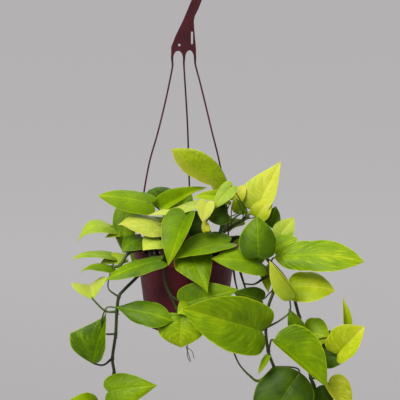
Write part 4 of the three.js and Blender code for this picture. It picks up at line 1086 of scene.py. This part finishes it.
# Leaf: living pothos blade, waxy above and duller below. Side veins and rib show a little paler, young leaves
# are yellower, the blade is mottled by its cells, and light comes through it. Light and shade are also
# painted
# on: a painted highlight along each edge, painted shade towards the notch with painted light towards the tip,
# and pale streaks along the side veins that are partly the leaf's own marking and partly painted sheen.
leaf_skin, tree, shader, where = material("living_leaf")
place, look, wear = (
    add(tree, "ShaderNodeSeparateXYZ", {
        "Vector": add(tree, "ShaderNodeAttribute", attribute_name=name).outputs["Vector"]}).outputs
    for name in ("leaf_place", "leaf_look", "leaf_wear"))
patch = swung(tree, noise(tree, where, 26, 2), 0.42)
cells = swung(tree, noise(tree, where, 2.4, 4, 0.65), 0.16)
line = between(tree, maths(tree, "PINGPONG", place["X"], 0.5), 0.0, 0.055, 1.0, 0.0)
line = times(tree, line, between(tree, place["Z"], 0.75, 0.98, 1.0, 0.0))
rib = between(tree, place["Y"], 0.25, 1.1, 1.0, 0.0)
# Painted highlight: a pale band along each blade's edge.
rim = between(tree, place["Z"], 0.955, 0.99)
fan = maths(tree, "MULTIPLY_ADD", look["Y"], 3.0, look["X"])
fan = add(tree, "ShaderNodeCombineXYZ", {"X": place["X"], "Y": place["Z"], "Z": fan})
fan = add(tree, "ShaderNodeTexNoise", {"Vector": fan, "Scale": 2.6, "Detail": 5.0, "Roughness": 0.62})
grain = swung(tree, fan, 0.3)
# Pale streaks along the side veins: partly the leaf's own marking, partly painted sheen.
streak = times(tree, between(tree, fan, 0.5, 0.66), maths(tree, "ABSOLUTE", look["Y"]))
# Painted light and shade: each blade is darker towards its notch and paler towards its tip.
tip_light_notch_shade = between(tree, place["X"], 0.0, VEINS, -0.08, 0.09)
tone = look["X"]
for more in (patch, cells, grain, tip_light_notch_shade, times(tree, line, 0.06), times(tree, rib, 0.14),
             times(tree, rim, 0.35), times(tree, streak, 0.45)):
    tone = maths(tree, "ADD", tone, more)
skin = ramp(tree, tone, [
    (0.0, "#304702"), (0.2, "#4c6c02"), (0.45, "#779702"),
    (0.65, "#96ae06"), (0.85, "#b7bf24"), (1.0, "#cbca4a"),
])
specks = between(tree, noise(tree, where, 2.2, 3, 0.6), 0.42, 0.62)
fading = between(tree, place["Z"], 0.55, 1.0, 0.0, 0.8)
bleach = between(tree, fan, 0.3, 0.7, 0.4, 0.8)
for value, share, tint in (
        (specks, wear["X"], "#6f6a10"), (fading, wear["X"], "#a9a03a"), (bleach, wear["Y"], "#b3c873"),
        (look["Z"], 0.35, "#94ad36")):
    skin = mixed(tree, times(tree, value, share), skin, linear(tint))
gloss = between(tree, noise(tree, where, 4, 3), 0.3, 0.7, 0.4, 0.52)
fed(tree, shader, {
    "Base Color": skin,
    "Roughness": maths(tree, "ADD", gloss, times(tree, look["Z"], 0.18)),
    "Specular IOR Level": 0.12,
    "Subsurface Weight": 0.35,
    "Subsurface Radius": (0.9, 1.0, 0.1),
    "Subsurface Scale": 0.0016,
    "Normal": bump(tree, maths(tree, "SUBTRACT", noise(tree, where, 1.3, 3), times(tree, line, 0.8)), 0.09),
})

# Stem: round and smooth, dark olive with age and green near its end, with pale pores.
stem_skin, tree, shader, where = material("living_stem")
age = add(tree, "ShaderNodeAttribute", attribute_name="age").outputs["Fac"]
patch = swung(tree, noise(tree, where, 8, 4, 0.6), 0.5)
green = ramp(tree, maths(tree, "ADD", age, patch), [
    (0.0, "#1f250b"), (0.3, "#36450f"), (0.55, "#587210"), (0.8, "#839e18"), (1.0, "#a6bb2c"),
])
pores = add(tree, "ShaderNodeTexVoronoi", {"Vector": where, "Scale": 900.0, "Randomness": 1.0})
pores = between(tree, pores.outputs["Distance"], 0.1, 0.22, 0.35, 0.0)
fed(tree, shader, {
    "Base Color": mixed(tree, pores, green, linear("#8d8a5a")),
    "Roughness": 0.42,
    "Specular IOR Level": 0.35,
    "Normal": bump(tree, noise(tree, where, 1.2, 4), 0.15),
})


def named(mesh, name, kind, values):
    """Gives a mesh's points an attribute."""
    field = "vector" if kind == "FLOAT_VECTOR" else "value"
    mesh.attributes.new(name, kind, "POINT").data.foreach_set(field, np.ravel(values))


random = np.random.default_rng(11)
for vine, parts in VINES.items():
    stem = np.array(parts["stem"], float)
    marks = MARKS.get(vine, {})
    leaves = [Leaf(row, marks.get(number, {})) for number, row in enumerate(parts["leaves"])]
    lines = [stem_line(stem, leaves, TAPERS.get(vine, STEM_TAPER))]
    lines += [stalk_line(leaf, stem[leaf.joint]) for leaf in leaves]
    lines += knobs(stem, leaves, random)
    lines += [(through(thread, 6), THREAD["radius"], THREAD["age"]) for thread in THREADS.get(vine, [])]
    for root in parts.get("roots", []):
        line = through(root, 10)
        share = np.linspace(0, 1, len(line))
        low = root[0][2] < LOW_ROOT["below"]
        age = LOW_ROOT["age"] - LOW_ROOT["loss"] * share ** 2 if low else ROOT_AGE
        lines.append((line, ROOT_RADIUS * np.clip(1.3 - share, 0.6, 1), age))
    bars = grown(wires(lines), swept, **STEM_SWEEP, Material=stem_skin)
    bar_points, bar_faces = arrays_of(bars)
    ages = np.zeros(len(bar_points))
    bars.attributes["age"].data.foreach_get("value", ages)
    sheets = [blade(leaf) for leaf in leaves]
    points, faces = joined([(bar_points, bar_faces)] + [(placed(sheet[0]), sheet[1]) for sheet in sheets])
    mesh = meshed(f"{vine}_growth", points, faces, stem_skin, leaf_skin)
    kinds = np.ones(len(faces), int)
    kinds[:len(bar_faces)] = 0
    mesh.polygons.foreach_set("material_index", kinds)
    blank = np.zeros((len(bar_points), 3))
    named(mesh, "age", "FLOAT", np.concatenate([ages, np.zeros(len(points) - len(ages))]))
    for name, column in (("leaf_place", 2), ("leaf_look", 3), ("leaf_wear", 4)):
        named(mesh, name, "FLOAT_VECTOR", np.concatenate([blank] + [sheet[column] for sheet in sheets]))
    growth = shown(f"{vine}_growth", mesh)
    stands_for(growth, vine)
